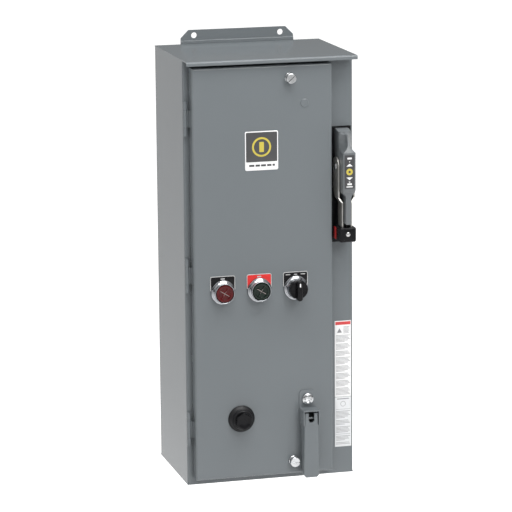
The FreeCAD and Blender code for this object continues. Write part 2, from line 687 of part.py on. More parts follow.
def make_latch_lever():
    """Channel lever: a tapered face with two side flanges, hinged near its top."""
    face = "(-body_depth - door_gap - door_depth - shelf_reach)"
    high, low = "lever_top_z", "lever_foot_z"
    half_high, half_low = "(lever_width / 2)", "(lever_foot_width / 2)"
    depth = "23"
    profile = [
        ("latch_x - " + half_high, high), ("latch_x + " + half_high, high),
        ("latch_x + " + half_low, low + " + 5"), ("latch_x + %s - 4" % half_low, low),
        ("latch_x - %s + 4" % half_low, low), ("latch_x - " + half_low, low + " + 5"),
    ]
    body = new_body("latch_lever")
    pad(body, outline(sketch(body, "XZ_Plane", "-%s - %s" % (face, depth)), profile), depth)
    side = outline(sketch(body, "YZ_Plane", "latch_x + 30"), [
        (face + " + 40", high + " + 1"), (face + " + 40", low + " - 1"), (face + " + 9", low + " - 1"),
        (face + " + %s" % depth, high + " - 24"), (face + " + %s" % depth, high + " - 8"),
        (face + " + 13", high + " + 1"),
    ])
    pocket(body, side, "60")
    inner = [
        ("latch_x - %s + lever_sheet" % half_high, high + " + 1"),
        ("latch_x + %s - lever_sheet" % half_high, high + " + 1"),
        ("latch_x + %s - lever_sheet" % half_low, low + " + lever_sheet + 4"),
        ("latch_x + %s - lever_sheet - 4" % half_low, low + " + lever_sheet"),
        ("latch_x - %s + lever_sheet + 4" % half_low, low + " + lever_sheet"),
        ("latch_x - %s + lever_sheet" % half_low, low + " + lever_sheet + 4"),
    ]
    drawing = outline(sketch(body, "XZ_Plane", "-%s - lever_sheet" % face), inner)
    pocket(body, drawing, "40")

    def face_bend(edge):
        at = middle(edge)
        sideways = abs(at.x - number("latch_x")) > number("lever_width / 2 - 0.5")
        return near(at.y, face) and sideways and edge.Length > 50

    round_edges(body, "lever_sheet", face_bend)
    cutter = sketch(body, "XZ_Plane", "-%s + 1" % face)
    outline(cutter, rectangle(("latch_x - 5", "latch_x + 5"), (high + " - 11.4", high + " + 1")))
    pocket(body, cutter, "lever_sheet + 2")
    slot_end = circle(sketch(body, "XZ_Plane", "-%s + 1" % face), "10", "latch_x", high + " - 11.4")
    pocket(body, slot_end, "lever_sheet + 2")
    dimple = circle(sketch(body, "XZ_Plane", "-%s + 1" % face), "9", "latch_x", high + " - 24.5")
    pocket(body, dimple, "1.3")
    bore = circle(sketch(body, "YZ_Plane", "latch_x + 30"), "latch_pin + 0.1",
                  DOOR_FACE + " - latch_pin_out", "latch_pin_z")
    pocket(body, bore, "60")
    return keep("latch_lever", body)


# ---------------------------------------------------------------- disconnect handle

HOUSING_LEFT = "(pivot_x - housing_width / 2)"
BACKING_FACE = "(-body_depth - backing_sheet)"


def make_handle_backing():
    """Plastic plate between the handle and the case flange."""
    half = "backing_width / 2"
    plate = block(("pivot_x - " + half, "pivot_x + " + half), (BACKING_FACE, FRONT),
                  ("pivot_z - 132", "pivot_z + 65"))
    slot = block(("pivot_x - 6", "pivot_x + 6"), (BACKING_FACE + " - 1", FRONT + " + 1"),
                 ("pivot_z - 38", "pivot_z + 42"))
    keep("handle_backing", cut(plate, slot))


def make_handle_housing():
    """Cast nose that the yoke straddles, scooped on both cheeks, with a slim neck below."""
    nose = [
        (BACKING_FACE, "pivot_z + 62"), (FRONT + " - 12", "pivot_z + 62"),
        (FRONT + " - 41", "pivot_z + 55"), (FRONT + " - 51.5", "pivot_z + 27"),
        (FRONT + " - 51.5", "pivot_z - 36"), (FRONT + " - 47", "pivot_z - 42"),
        (BACKING_FACE, "pivot_z - 42"),
    ]
    body = slab("handle_housing", "YZ_Plane", nose, "housing_width", "pivot_x - housing_width / 2")

    def front_corner(edge):
        at = middle(edge)
        return not along(edge, "x") and at.y < number(FRONT + " - 20") and at.z > number("pivot_z - 41")

    round_edges(body, "1.6", front_corner)
    neck = outline(sketch(body, "YZ_Plane", "pivot_x - 5"), [
        (BACKING_FACE, "pivot_z - 41"), (FRONT + " - 47.5", "pivot_z - 41"),
        (FRONT + " - 47.5", "pivot_z - 93"), (BACKING_FACE, "pivot_z - 96"),
    ])
    pad(body, neck, "10")
    flare = outline(sketch(body, "XZ_Plane", "body_depth + 3.5"), [
        ("pivot_x - 11", "pivot_z - 41.5"), ("pivot_x - 7.4", "pivot_z - 45"),
        ("pivot_x - 5", "pivot_z - 51"), ("pivot_x + 5", "pivot_z - 51"),
        ("pivot_x + 7.4", "pivot_z - 45"), ("pivot_x + 11", "pivot_z - 41.5"),
    ])
    pad(body, flare, "44")
    hollow = outline(sketch(body, "YZ_Plane", "pivot_x - 6"),
                     rectangle((FRONT + " - 26", FRONT + " + 1"), ("pivot_z - 36", "pivot_z + 42")))
    pocket(body, hollow, "12", reverse=True)
    scoops = [ball("33", ("pivot_x + %d * 18.2" % side, FRONT + " - 40", "pivot_z + 45"))
              for side in (-1, 1)]
    bore = rod("shaft + 0.1", "housing_width + 2", (HOUSING_LEFT + " - 1", PIVOT_Y, "pivot_z"), "X")
    keep("handle_housing", cut(body, bore, *scoops))


def make_handle_label():
    face = FRONT + " - 51.5"
    plate = block(("pivot_x - 8.5", "pivot_x + 8.5"), (face + " - 0.5", face),
                  ("pivot_z - 33", "pivot_z + 23.5"))
    keep("handle_label", plate)


def yoke_side(side):
    """One arm of the yoke: a round eye on the shaft, then a strap that steps inward and forward."""
    wide, slim = "yoke_inner / 2", "(yoke_inner / 2 - yoke_step)"
    across = "pivot_x + %d * (%%s)" % side
    rear, front = PIVOT_Y + " + yoke_eye - 0.6", PIVOT_Y + " - yoke_eye"
    low = "grip_low_z + 3"
    bent = slab("yoke_arm", "XZ_Plane", [
        (across % (wide + " + yoke_sheet"), "pivot_z + yoke_eye"),
        (across % (wide + " + yoke_sheet"), "step_high_z - yoke_sheet / 4"),
        (across % (slim + " + yoke_sheet"), "step_low_z - yoke_sheet / 4"),
        (across % (slim + " + yoke_sheet"), low), (across % slim, low),
        (across % slim, "step_low_z + yoke_sheet / 4"), (across % wide, "step_high_z + yoke_sheet / 4"),
        (across % wide, "pivot_z + yoke_eye"),
    ], "45", "body_depth + 1")
    profile = slab("yoke_side", "YZ_Plane", [
        (front, "pivot_z"), (rear, "pivot_z"), (rear, "pivot_z - 37"), (FRONT + " - 11", "step_high_z"),
        (FRONT + " - 14", "step_low_z"), (FRONT + " - 14", low), (FRONT + " - 37", low),
        (FRONT + " - 37", "step_low_z"), (front, "step_high_z"),
    ], "60", "pivot_x - 30")
    eye = rod("2 * yoke_eye", "60", ("pivot_x - 30", PIVOT_Y, "pivot_z"), "X")
    return overlap(fuse(profile, eye), bent)


def make_handle_yoke():
    """Steel yoke: two arms and the web that the grip is moulded round."""
    inner = "(yoke_inner / 2 - yoke_step + 1)"
    arms = [yoke_side(-1), yoke_side(1)]
    web = block(("pivot_x - " + inner, "pivot_x + " + inner),
                (FRONT + " - 18", FRONT + " - 14"), ("grip_low_z + 3", "grip_high_z - 3"))
    bores = rod("shaft", "60", ("pivot_x - 30", PIVOT_Y, "pivot_z"), "X")
    keep("handle_yoke", cut(fuse(web, *arms), bores))


def make_handle_shaft():
    """Square-shouldered shaft with riveted ends; it carries the yoke and the drive arm."""
    half = "(yoke_inner / 2 + yoke_sheet)"
    shaft = rod("shaft", "2 * " + half, ("pivot_x - " + half, PIVOT_Y, "pivot_z"), "X")
    left = taper("shaft + 1", "shaft + 4", "1.8", ("pivot_x - %s - 1.8" % half, PIVOT_Y, "pivot_z"), "X")
    right = taper("shaft + 4", "shaft + 1", "1.8", ("pivot_x + " + half, PIVOT_Y, "pivot_z"), "X")
    keep("handle_shaft", fuse(shaft, left, right))


def make_drive_arm():
    """Arm on the handle's shaft that reaches through the flange slot into the case."""
    hub = rod("14", "7", ("pivot_x - 3.5", PIVOT_Y, "pivot_z"), "X")
    arm = block(("pivot_x - 2.5", "pivot_x + 2.5"), (PIVOT_Y + " - 5", PIVOT_Y + " + 5"),
                ("pivot_z", "pivot_z + drive_arm"))
    eye = rod("10", "5", ("pivot_x - 2.5", PIVOT_Y, "pivot_z + drive_arm"), "X")
    bores = [rod("shaft", "20", ("pivot_x - 10", PIVOT_Y, "pivot_z"), "X"),
             rod("5", "20", ("pivot_x - 10", PIVOT_Y, "pivot_z + drive_arm"), "X")]
    keep("drive_arm", cut(fuse(hub, arm, eye), *bores))


def make_handle_grip():
    """Moulded grip over the yoke's web, with side flags and a face rivet."""
    half = "(grip_width / 2)"
    front, rear = "(-body_depth - grip_front)", "(-body_depth - grip_rear)"
    body = slab("handle_grip", "XZ_Plane",
                rectangle(("pivot_x - " + half, "pivot_x + " + half), ("grip_low_z", "grip_high_z")),
                "grip_front - grip_rear", "body_depth + grip_rear")

    def front_corner(edge):
        return near(middle(edge).y, front) or (along(edge, "y") and middle(edge).y < number(rear))

    round_edges(body, "2.5", front_corner)
    rivet_hole = rod("5", "6", ("pivot_x", front + " - 1", "(grip_low_z + grip_high_z) / 2 + 1"), "Y")
    keep("handle_grip", cut(body, SUB_PARTS["handle_yoke"], rivet_hole))
    flags = []
    for side in (-1, 1):
        low, high = sorted(("pivot_x + %d * (grip_width / 2)" % side,
                            "pivot_x + %d * (grip_width / 2 + 0.8)" % side), key=number)
        flags.append(block((low, high), (rear + " - 12", rear + " - 0.6"),
                           ("grip_low_z + 2.5", "grip_high_z - 2.5")))
    keep("handle_grip_flags", group(*flags))
    shank = rod("5", "5", ("pivot_x", front, "(grip_low_z + grip_high_z) / 2 + 1"), "Y")
    head = taper("5", "8", "1.4", ("pivot_x", front + " - 1.4", "(grip_low_z + grip_high_z) / 2 + 1"), "Y")
    keep("handle_grip_rivet", fuse(shank, head))


def make_flange_labels():
    """Two stickers on the right flange."""
    x = ("body_width / 2 - bend - label_width", "body_width / 2 - bend")
    y = (FRONT + " - label_sheet", FRONT)
    keep("flange_label_upper", block(x, y, ("-228", "-95")))
    keep("flange_label_lower", block(x, y, ("-316", "-228.6")))


# ---------------------------------------------------------------- inside the case

def make_mounting_panel():
    half = "panel_width / 2"
    sheet = block(("-" + half, half), (PANEL, PANEL + " + panel_sheet"),
                  ("-panel_height / 2", "panel_height / 2"))
    lips = [block((low, high), (PANEL + " - panel_lip", PANEL + " + panel_sheet"),
                  ("-panel_height / 2", "panel_height / 2"))
            for low, high in (("-" + half, "-" + half + " + panel_sheet"),
                              (half + " - panel_sheet", half))]
    holes = [rod("8", "10", ("%d * stud_x" % a, PANEL + " - 4", "%d * stud_z" % b), "Y")
             for a in (-1, 1) for b in (-1, 1)]
    keep("mounting_panel", cut(fuse(sheet, *lips), *holes))
    screws = []
    for a in (-1, 1):
        for b in (-1, 1):
            x, z = "%d * stud_x" % a, "%d * stud_z" % b
            seat = rod("14", "panel_front - panel_sheet - wall_gap - sheet",
                       (x, PANEL + " + panel_sheet", z), "Y")
            stud = rod("8", "12", (x, PANEL + " - 10", z), "Y")
            nut = rod("13", "6", (x, PANEL + " - 6", z), "Y")
            screws.append(fuse(seat, stud, nut))
    keep("panel_screws", group(*screws))


POLES = ("switch_x - pole_pitch", "switch_x", "switch_x + pole_pitch")


def make_disconnect_switch():
    """Three-pole knife switch: base with barriers, jaws above, blades hinged below."""
    wide = "(1.5 * pole_pitch + 4)"
    slab_base = block(("switch_x - " + wide, "switch_x + " + wide), (PANEL + " - 16", PANEL),
                      ("switch_low_z", "switch_high_z"))
    fins = []
    for step in (-1.5, -0.5, 0.5, 1.5):
        x = "switch_x + %s * pole_pitch" % step
        fins.append(block((x + " - 1.5", x + " + 1.5"), ("blade_pivot_y + 2", PANEL),
                          ("switch_low_z", "switch_high_z")))
    keep("disconnect_base", fuse(slab_base, *fins))
    line, load, blades = [], [], []
    for x in POLES:
        line.append(make_jaw(x))
        load.append(make_blade_hinge(x))
        blades.append(make_blade(x))
    keep("line_terminals", group(*line))
    keep("load_terminals", group(*load))
    keep("switch_blades", group(*blades))
    bar = block(("switch_x - pole_pitch - 12", "switch_x + pole_pitch + 12"),
                ("blade_pivot_y - 20", "blade_pivot_y - 8.2"), ("blade_pivot_z + 50", "blade_pivot_z + 60"))
    keep("blade_crossbar", place_tilted(bar))


TILT = Rotation(Vector(1, 0, 0), 45)


def place_tilted(solid):
    """Turns a piece of the blade assembly forward about the blades' pivot: the switch is off."""
    carrier = group(solid)
    pivot = Vector(0, number("blade_pivot_y"), number("blade_pivot_z"))
    carrier.Placement = Placement(Vector(), TILT, pivot)
    return carrier


def make_blade(x):
    strip = block(("%s - blade_sheet / 2" % x, "%s + blade_sheet / 2" % x),
                  ("blade_pivot_y - 8", "blade_pivot_y + 7"),
                  ("blade_pivot_z", "blade_pivot_z + blade_length"))
    eye = rod("15", "blade_sheet", ("%s - blade_sheet / 2" % x, "blade_pivot_y - 0.5", "blade_pivot_z"), "X")
    bore = rod("5.1", "20", ("%s - 10" % x, "blade_pivot_y", "blade_pivot_z"), "X")
    return place_tilted(cut(fuse(strip, eye), bore))


def make_jaw(x):
    """Spring jaw with its line lug behind it."""
    z = ("blade_pivot_z + blade_length - 24", "blade_pivot_z + blade_length - 2")
    cheeks = [block((x + a, x + b), ("blade_pivot_y - 6", PANEL + " - 19"), z)
              for a, b in ((" - 4.2", " - 2.2"), (" + 2.2", " + 4.2"))]
    strap = block((x + " - 9", x + " + 9"), (PANEL + " - 19", PANEL + " - 16"),
                  (z[0], "switch_high_z - 8"))
    lug = block((x + " - 9", x + " + 9"), (PANEL + " - 37", PANEL + " - 19"),
                ("switch_high_z - 34", "switch_high_z - 12"))
    wire_hole = rod("11", "40", (x, PANEL + " - 28", "switch_high_z - 40"))
    return cut(fuse(strap, lug, *cheeks), wire_hole)


def make_blade_hinge(x):
    """Two ears and a pin that the blade turns on, with the strap that leads down to the load lug."""
    z = ("blade_pivot_z - 10", "blade_pivot_z + 10")
    ears = [block((x + a, x + b), ("blade_pivot_y - 9", PANEL + " - 19"), z)
            for a, b in ((" - 4.2", " - 2.2"), (" + 2.2", " + 4.2"))]
    strap = block((x + " - 9", x + " + 9"), (PANEL + " - 19", PANEL + " - 16"), ("switch_low_z + 4", z[1]))
    pin = rod("5", "10.4", (x + " - 5.2", "blade_pivot_y", "blade_pivot_z"), "X")
    return fuse(strap, pin, *ears)


def make_fuses():
    """Three cartridge fuses, each between a clip pair on an insulating foot."""
    clips, cartridges = [], []
    middle_z = "(fuse_top_z + fuse_low_z) / 2"
    for x in POLES:
        foot = block((x + " - 13", x + " + 13"), (PANEL + " - 9", PANEL),
                     ("fuse_low_z - 14", "fuse_top_z + 14"))
        parts = [foot]
        for z in ("fuse_low_z", "fuse_top_z"):
            parts.append(tube("fuse + 3", "fuse + 0.1", "12", (x, "fuse_y", z + " - 6")))
            parts.append(block((x + " - 8", x + " + 8"), ("fuse_y + fuse / 2 + 0.6", PANEL + " - 8"),
                               (z + " - 6", z + " + 6")))
        mouth = block((x + " - 7", x + " + 7"), ("fuse_y - fuse", "fuse_y - fuse / 2 + 2.5"),
                      ("fuse_low_z - 14", "fuse_top_z + 14"))
        clips.append(cut(fuse(*parts), mouth))
        barrel = rod("fuse - 1", "fuse_top_z - fuse_low_z + 16", (x, "fuse_y", "fuse_low_z - 8"))
        caps = [rod("fuse", "14", (x, "fuse_y", z + " - 7")) for z in ("fuse_low_z", "fuse_top_z")]
        cartridges.append(fuse(barrel, *caps))
    keep("fuse_clips", group(*clips))
    keep("fuses", group(*cartridges))


def make_contactor():
    """Magnetic contactor: base, magnet, coil, moving crosshead and its terminals."""
    half_x, half_z = "(contactor_width / 2)", "(contactor_height / 2)"
    x = ("contactor_x - " + half_x, "contactor_x + " + half_x)
    z = ("contactor_z - " + half_z, "contactor_z + " + half_z)
    shell = block(x, (PANEL + " - 62", PANEL), z)
    well = block((x[0] + " + 10", x[1] + " - 10"), (PANEL + " - 63", PANEL + " - 5"),
                 (z[0] + " + 20", z[1] + " - 20"))
    keep("contactor_base", cut(shell, well))
    yoke_y = (PANEL + " - 33", PANEL + " - 5")
    magnet = block(("contactor_x - 33", "contactor_x + 33"), yoke_y, ("contactor_z - 9", "contactor_z + 9"))
    gaps = [block(("contactor_x %s" % a, "contactor_x %s" % b), (PANEL + " - 34", PANEL + " - 12"),
                  ("contactor_z - 10", "contactor_z + 10"))
            for a, b in (("- 24", "- 9"), ("+ 9", "+ 24"))]
    keep("contactor_magnet", cut(magnet, *gaps))
    coil = block(("contactor_x - 23.6", "contactor_x + 23.6"), (PANEL + " - 31", PANEL + " - 12.4"),
                 ("contactor_z - 26", "contactor_z + 26"))
    core = block(("contactor_x - 9.4", "contactor_x + 9.4"), (PANEL + " - 40", PANEL),
                 ("contactor_z - 9.4", "contactor_z + 9.4"))
    keep("contactor_coil", cut(coil, core))
    armature = block(("contactor_x - 33", "contactor_x + 33"), (PANEL + " - 50", PANEL + " - 40"),
                     ("contactor_z - 9", "contactor_z + 9"))
    carrier = block(("contactor_x - 34", "contactor_x + 34"), (PANEL + " - 66", PANEL + " - 49"),
                    ("contactor_z - 16", "contactor_z + 16"))
    button = block(("contactor_x - 8", "contactor_x + 8"), (PANEL + " - 72", PANEL + " - 65"),
                   ("contactor_z - 8", "contactor_z + 8"))
    bridges = [block(("contactor_x + %d - 5" % step, "contactor_x + %d + 5" % step),
                     (PANEL + " - 66", PANEL + " - 63.5"), ("contactor_z - 29", "contactor_z + 29"))
               for step in (-24, 24)]
    keep("contactor_crosshead", fuse(armature, carrier, button, *bridges))
    terminals = []
    for step in (-28, 0, 28):
        for side in (-1, 1):
            at = "contactor_x + %d" % step
            low, high = sorted(("contactor_z + %d * 37" % side, "contactor_z + %d * 51" % side), key=number)
            pad_block = block((at + " - 10", at + " + 10"), (PANEL + " - 66", PANEL + " - 62"), (low, high))
            screw = rod("8", "5", (at, PANEL + " - 71", "contactor_z + %d * 44" % side), "Y")
            terminals.append(fuse(pad_block, screw))
    keep("contactor_terminals", group(*terminals))


def make_overload():
    """Thermal overload relay with three heaters and the lever that the reset pushes."""
    half = "(contactor_width / 2 - 2)"
    top = "overload_z + overload_height / 2"
    case = block(("contactor_x - " + half, "contactor_x + " + half), (PANEL + " - 58", PANEL),
                 ("overload_z - overload_height / 2", top))
    well = block(("reset_x - 9", "reset_x + 9"), (PANEL + " - 60", PANEL + " - 40"),
                 ("reset_z - 9", "reset_z + 9"))
    keep("overload_base", cut(case, well))
    heaters = []
    for step in (-28, 0, 28):
        at = "contactor_x + %d" % step
        plate = block((at + " - 10", at + " + 10"), (PANEL + " - 61", PANEL + " - 58"),
                      ("overload_z + 4", "overload_z + 36"))
        winding = rod("13", "18", (at, PANEL + " - 66", "overload_z + 11"))
        heaters.append(fuse(plate, winding))
    keep("overload_heaters", group(*heaters))
    plunger = block(("reset_x - 7", "reset_x + 7"), (PANEL + " - 66", PANEL + " - 48"),
                    ("reset_z - 7", "reset_z + 7"))
    keep("overload_reset_lever", plunger)


def make_transformer():
    """Control transformer: laminated core with a coil round its middle leg."""
    x, z = "transformer_x", "transformer_z"
    core = block((x + " - 30", x + " + 30"), (PANEL + " - 52", PANEL), (z + " - 34", z + " + 34"))
    windows = [block((x + a, x + b), (PANEL + " - 60", PANEL + " + 1"), (z + " - 24", z + " + 24"))
               for a, b in ((" - 22", " - 10"), (" + 10", " + 22"))]
    keep("transformer_core", cut(core, *windows))
    coil = block((x + " - 21.6", x + " + 21.6"), (PANEL + " - 62", PANEL + " - 0.4"),
                 (z + " - 23.6", z + " + 23.6"))
    leg = block((x + " - 10.4", x + " + 10.4"), (PANEL + " - 52.4", PANEL + " + 2"),
                (z + " - 30", z + " + 30"))
    keep("transformer_coil", cut(coil, leg))


def make_ground_lug():
    bar = block(("40", "96"), (PANEL + " - 12", PANEL), ("-292", "-278"))
    holes = [rod("6", "20", ("%d" % x, PANEL + " - 6", "-295")) for x in (48, 60, 76, 88)]
    screws = [rod("6", "4", ("%d" % x, PANEL + " - 15", "-285"), "Y") for x in (48, 60, 76, 88)]
    keep("ground_lug", fuse(cut(bar, *holes), *screws))


# ---------------------------------------------------------------- build, check and write

def build():
    make_enclosure_wrap()
    make_top_hood()
    make_bottom_end()
    make_mounting_flange("top_mounting_flange", 1)
    make_mounting_flange("bottom_mounting_flange", -1)
    make_hinges()
    make_door_panel()
    make_door_gasket()
    make_badge_and_plug()
    make_door_screw("door_screw_top", "screw_top_x", "screw_top_z")
    make_door_screw("door_screw_bottom", "screw_low_x", "screw_low_z")
    make_screw_receptacles()
    make_devices()
    make_reset()
    make_latch()
    make_handle_backing()
    make_handle_housing()
    make_handle_label()
    make_handle_yoke()
    make_handle_shaft()
    make_drive_arm()
    make_handle_grip()
    make_flange_labels()
    make_mounting_panel()
    make_disconnect_switch()
    make_fuses()
    make_contactor()
    make_overload()
    make_transformer()
    make_ground_lug()
    doc.recompute()


def check():
    for item in doc.Objects:
        if "Invalid" in item.State or "Error" in item.State:
            raise RuntimeError("%s (%s) did not compute" % (item.Name, item.Label))
    for label, item in SUB_PARTS.items():
        if item.Shape.isNull() or not item.Shape.isValid() or not item.Shape.Solids:
            raise RuntimeError("%s has no valid solid" % label)


def write():
    os.makedirs("parts", exist_ok=True)
    for label, item in SUB_PARTS.items():
        item.Shape.exportStep("parts/%s.step" % label)
        print("%-24s %2d solids  %10.0f mm3" % (label, len(item.Shape.Solids), item.Shape.Volume))
    print(len(SUB_PARTS), "sub-parts")


build()
check()
write()
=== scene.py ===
import json
import math

import bpy
import numpy as np
from bpy.props import FloatProperty, FloatVectorProperty, PointerProperty
from mathutils import Matrix, Vector


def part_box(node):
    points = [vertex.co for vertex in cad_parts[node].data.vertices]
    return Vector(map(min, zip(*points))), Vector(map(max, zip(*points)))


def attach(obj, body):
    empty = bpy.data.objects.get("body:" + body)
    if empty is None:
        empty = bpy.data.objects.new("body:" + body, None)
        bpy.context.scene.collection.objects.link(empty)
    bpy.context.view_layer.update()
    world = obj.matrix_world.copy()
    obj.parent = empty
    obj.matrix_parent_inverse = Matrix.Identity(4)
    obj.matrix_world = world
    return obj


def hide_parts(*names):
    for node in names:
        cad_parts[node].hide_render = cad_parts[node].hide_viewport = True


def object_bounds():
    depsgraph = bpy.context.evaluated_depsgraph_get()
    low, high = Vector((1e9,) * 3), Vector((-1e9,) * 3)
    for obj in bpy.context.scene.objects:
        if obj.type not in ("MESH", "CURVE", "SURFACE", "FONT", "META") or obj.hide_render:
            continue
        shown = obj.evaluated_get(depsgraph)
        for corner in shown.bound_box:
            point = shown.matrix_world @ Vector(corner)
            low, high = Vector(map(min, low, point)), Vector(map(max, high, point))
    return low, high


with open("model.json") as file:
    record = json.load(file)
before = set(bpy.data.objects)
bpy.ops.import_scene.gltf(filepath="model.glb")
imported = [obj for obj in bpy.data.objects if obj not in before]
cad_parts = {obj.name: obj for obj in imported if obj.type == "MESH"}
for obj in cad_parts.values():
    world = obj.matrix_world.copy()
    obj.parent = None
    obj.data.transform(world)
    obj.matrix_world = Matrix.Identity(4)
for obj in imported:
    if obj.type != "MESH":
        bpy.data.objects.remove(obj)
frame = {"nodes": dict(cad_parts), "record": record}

bl_info = {
    "name": "Motor starter dressing",
    "version": (1, 0, 0),
    "blender": (4, 5, 0),
    "location": "View3D > Sidebar > Starter",
    "description": "Builds the visible pieces and finishes of a wall-mounted motor starter",
    "category": "Object",
}

CAD_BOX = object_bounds()
MM = 0.001
TURN = 2 * math.pi


# ---------------------------------------------------------------- settings

def shade(name, description, default):
    """A colour property, linear red, green and blue."""
    return FloatVectorProperty(name=name, description=description, default=default,
                               subtype="COLOR", size=3, min=0.0, max=1.0)


def length(name, description, default):
    """A length property in metres."""
    return FloatProperty(name=name, description=description, default=default, min=0.0,
                         unit="LENGTH", precision=5)


class StarterColours(bpy.types.PropertyGroup):
    enclosure_paint: shade("Case paint", "Satin grey of the case and door", (0.137, 0.152, 0.161))
    cast_paint: shade("Casting paint", "Darker grey of the handle's nose", (0.118, 0.128, 0.134))
    plated_steel: shade("Plated steel", "Zinc plating of screws and hinge pins", (0.56, 0.57, 0.58))
    galvanised_panel: shade("Back panel", "Galvanised mounting panel", (0.60, 0.62, 0.63))
    gasket_foam: shade("Gasket", "Foam strip round the door", (0.035, 0.035, 0.036))
    badge_print: shade("Badge field", "Dark field of the door badge", (0.055, 0.055, 0.057))
    badge_mark: shade("Badge mark", "Yellow of the badge and handle marks", (0.50, 0.41, 0.06))
    legend_black: shade("Black legend", "Field of the black legend plates", (0.006, 0.006, 0.007))
    legend_red: shade("Red legend", "Field of the red legend plate", (0.62, 0.018, 0.016))
    legend_edge: shade("Legend edge", "Bare aluminium edge of the plates", (0.50, 0.50, 0.50))
    chrome_trim: shade("Chrome", "Ring nuts and bezels", (0.38, 0.39, 0.41))
    red_lens: shade("Red lens", "Unlit red pilot lens", (0.070, 0.003, 0.004))
    green_lens: shade("Green lens", "Unlit green pilot lens", (0.004, 0.011, 0.007))
    black_plastic: shade("Black plastic", "Knobs, grips and boots", (0.006, 0.006, 0.007))
    boot_rubber: shade("Rubber", "Boot of the reset button", (0.006, 0.006, 0.007))
    yoke_steel: shade("Yoke steel", "Plated arms of the handle", (0.52, 0.51, 0.48))
    flag_red: shade("Red flag", "Red slips on the handle's grip", (0.45, 0.012, 0.014))
    rivet_aluminium: shade("Rivet", "Bright rivets", (0.50, 0.50, 0.50))
    handle_print: shade("Handle label", "Dark label on the handle", (0.045, 0.045, 0.048))
    label_white: shade("White label", "Ground of the upper flange label", (0.78, 0.78, 0.78))
    label_grey: shade("Grey label", "Ground of the lower flange label", (0.66, 0.67, 0.68))
    label_ink: shade("Label ink", "Grey bars that stand for print", (0.22, 0.22, 0.23))
    label_band: shade("Label band", "Red band across the upper flange label", (0.60, 0.05, 0.05))
    moulded_base: shade("Moulded base", "Phenolic bases of the devices", (0.020, 0.018, 0.017))
    copper_contacts: shade("Copper", "Blades, jaws and terminals", (0.72, 0.36, 0.20))
    fuse_body: shade("Fuse tube", "Fibre tubes of the fuses", (0.50, 0.38, 0.22))
    coil_winding: shade("Winding", "Taped coils", (0.30, 0.20, 0.06))
    core_steel: shade("Core steel", "Laminated iron", (0.20, 0.20, 0.21))
    reset_blue: shade("Reset lever", "Lever of the overload relay", (0.02, 0.07, 0.30))
    lug_aluminium: shade("Lug", "Ground lug", (0.74, 0.74, 0.75))
    # Pale colour of the lens ribs' crests: a painted highlight that stands for the ribs' glint, not a
    # clear plastic.
    lens_rib: shade("Lens ribs", "Clear ribs that cross a pilot lens", (0.24, 0.20, 0.19))
    floor: shade("Floor", "Pale studio floor", (0.94, 0.94, 0.94))


class StarterSizes(bpy.types.PropertyGroup):
    badge_border: length("Badge border", "White edge round the badge", 0.0016)
    badge_foot: length("Badge foot", "Height of the badge's white foot", 0.0125)
    legend_edge: length("Legend edge", "Bare edge of a legend plate", 0.0011)
    legend_corner: length("Legend corner", "Corner radius of a legend plate", 0.0030)
    rim: length("Bezel rim", "Outer radius of a pilot light's rim", 0.0171)
    lens: length("Lens", "Radius of a pilot lens", 0.0146)
    slot: length("Screw slot", "Width of the door screws' slots", 0.0022)
    grip_edge: length("Grip edge", "Rounding of the handle's grip", 0.0030)
    ridge: length("Nose ridge", "Half width of the ridge between the nose's scoops", 0.0014)


# ---------------------------------------------------------------- places

def span(node):
    """A CAD node's lowest and highest corner, in millimetres."""
    low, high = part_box(node)
    return np.array(low) / MM, np.array(high) / MM


def middle(node):
    """Middle of a CAD node's box, in millimetres."""
    low, high = span(node)
    return (low + high) / 2


def axes(out):
    """Right-handed rows (across, up, out) for a piece that faces along `out`."""
    out = np.array(out, float)
    up = np.array([0.0, 0.0, 1.0])
    return np.array([np.cross(up, out), up, out])


FORWARD = axes((0, -1, 0))
LEFTWARD = axes((-1, 0, 0))
RIGHTWARD = axes((1, 0, 0))


def seat(points, origin, way=FORWARD):
    """Local (across, up, out) millimetres put at an origin, facing a way."""
    return np.asarray(origin, float) + points @ way


# ---------------------------------------------------------------- surfaces

def quads(rows, columns, ring=False):
    """Faces of a grid whose columns close on themselves; with ring its rows close too."""
    i = np.arange(rows if ring else rows - 1)[:, None]
    j = np.arange(columns)[None, :]
    after, beside = (i + 1) % rows, (j + 1) % columns
    corners = [i * columns + j, i * columns + beside, after * columns + beside, after * columns + j]
    return np.stack(np.broadcast_arrays(*corners), axis=-1).reshape(-1, 4)


def shell(grid, ring=False):
    """Closed surface from loops stacked outwards: quads between them, and at each end a fan
    of triangles to the end loop's mean. Returns (points, faces)."""
    rows, columns = grid.shape[:2]
    points = grid.reshape(-1, 3)
    faces = quads(rows, columns, ring).tolist()
    if ring:
        return points, faces
    first, last = len(points), len(points) + 1
    points = np.vstack([points, grid[0].mean(axis=0), grid[-1].mean(axis=0)])
    j = np.arange(columns)
    beside = (j + 1) % columns
    top = (rows - 1) * columns
    faces += np.stack([np.full(columns, first), beside, j], axis=1).tolist()
    faces += np.stack([np.full(columns, last), top + j, top + beside], axis=1).tolist()
    return points, faces


def rounded(profile, radius, steps=5):
    """The profile with each inner corner replaced by a quadratic curve that starts and ends
    `radius` from the corner, or just under half an edge where that is less."""
    profile = np.asarray(profile, float)
    before, corner, after = profile[:-2], profile[1:-1], profile[2:]
    back, ahead = before - corner, after - corner
    back_length = np.linalg.norm(back, axis=1, keepdims=True)
    ahead_length = np.linalg.norm(ahead, axis=1, keepdims=True)
    reach = np.minimum(radius, 0.48 * np.minimum(back_length, ahead_length))
    start = corner + back / back_length * reach
    end = corner + ahead / ahead_length * reach
    s = np.linspace(0, 1, steps)[None, :, None]
    curve = ((1 - s) ** 2 * start[:, None] + 2 * s * (1 - s) * corner[:, None]
             + s ** 2 * end[:, None])
    return np.vstack([profile[:1], curve.reshape(-1, 2), profile[-1:]])


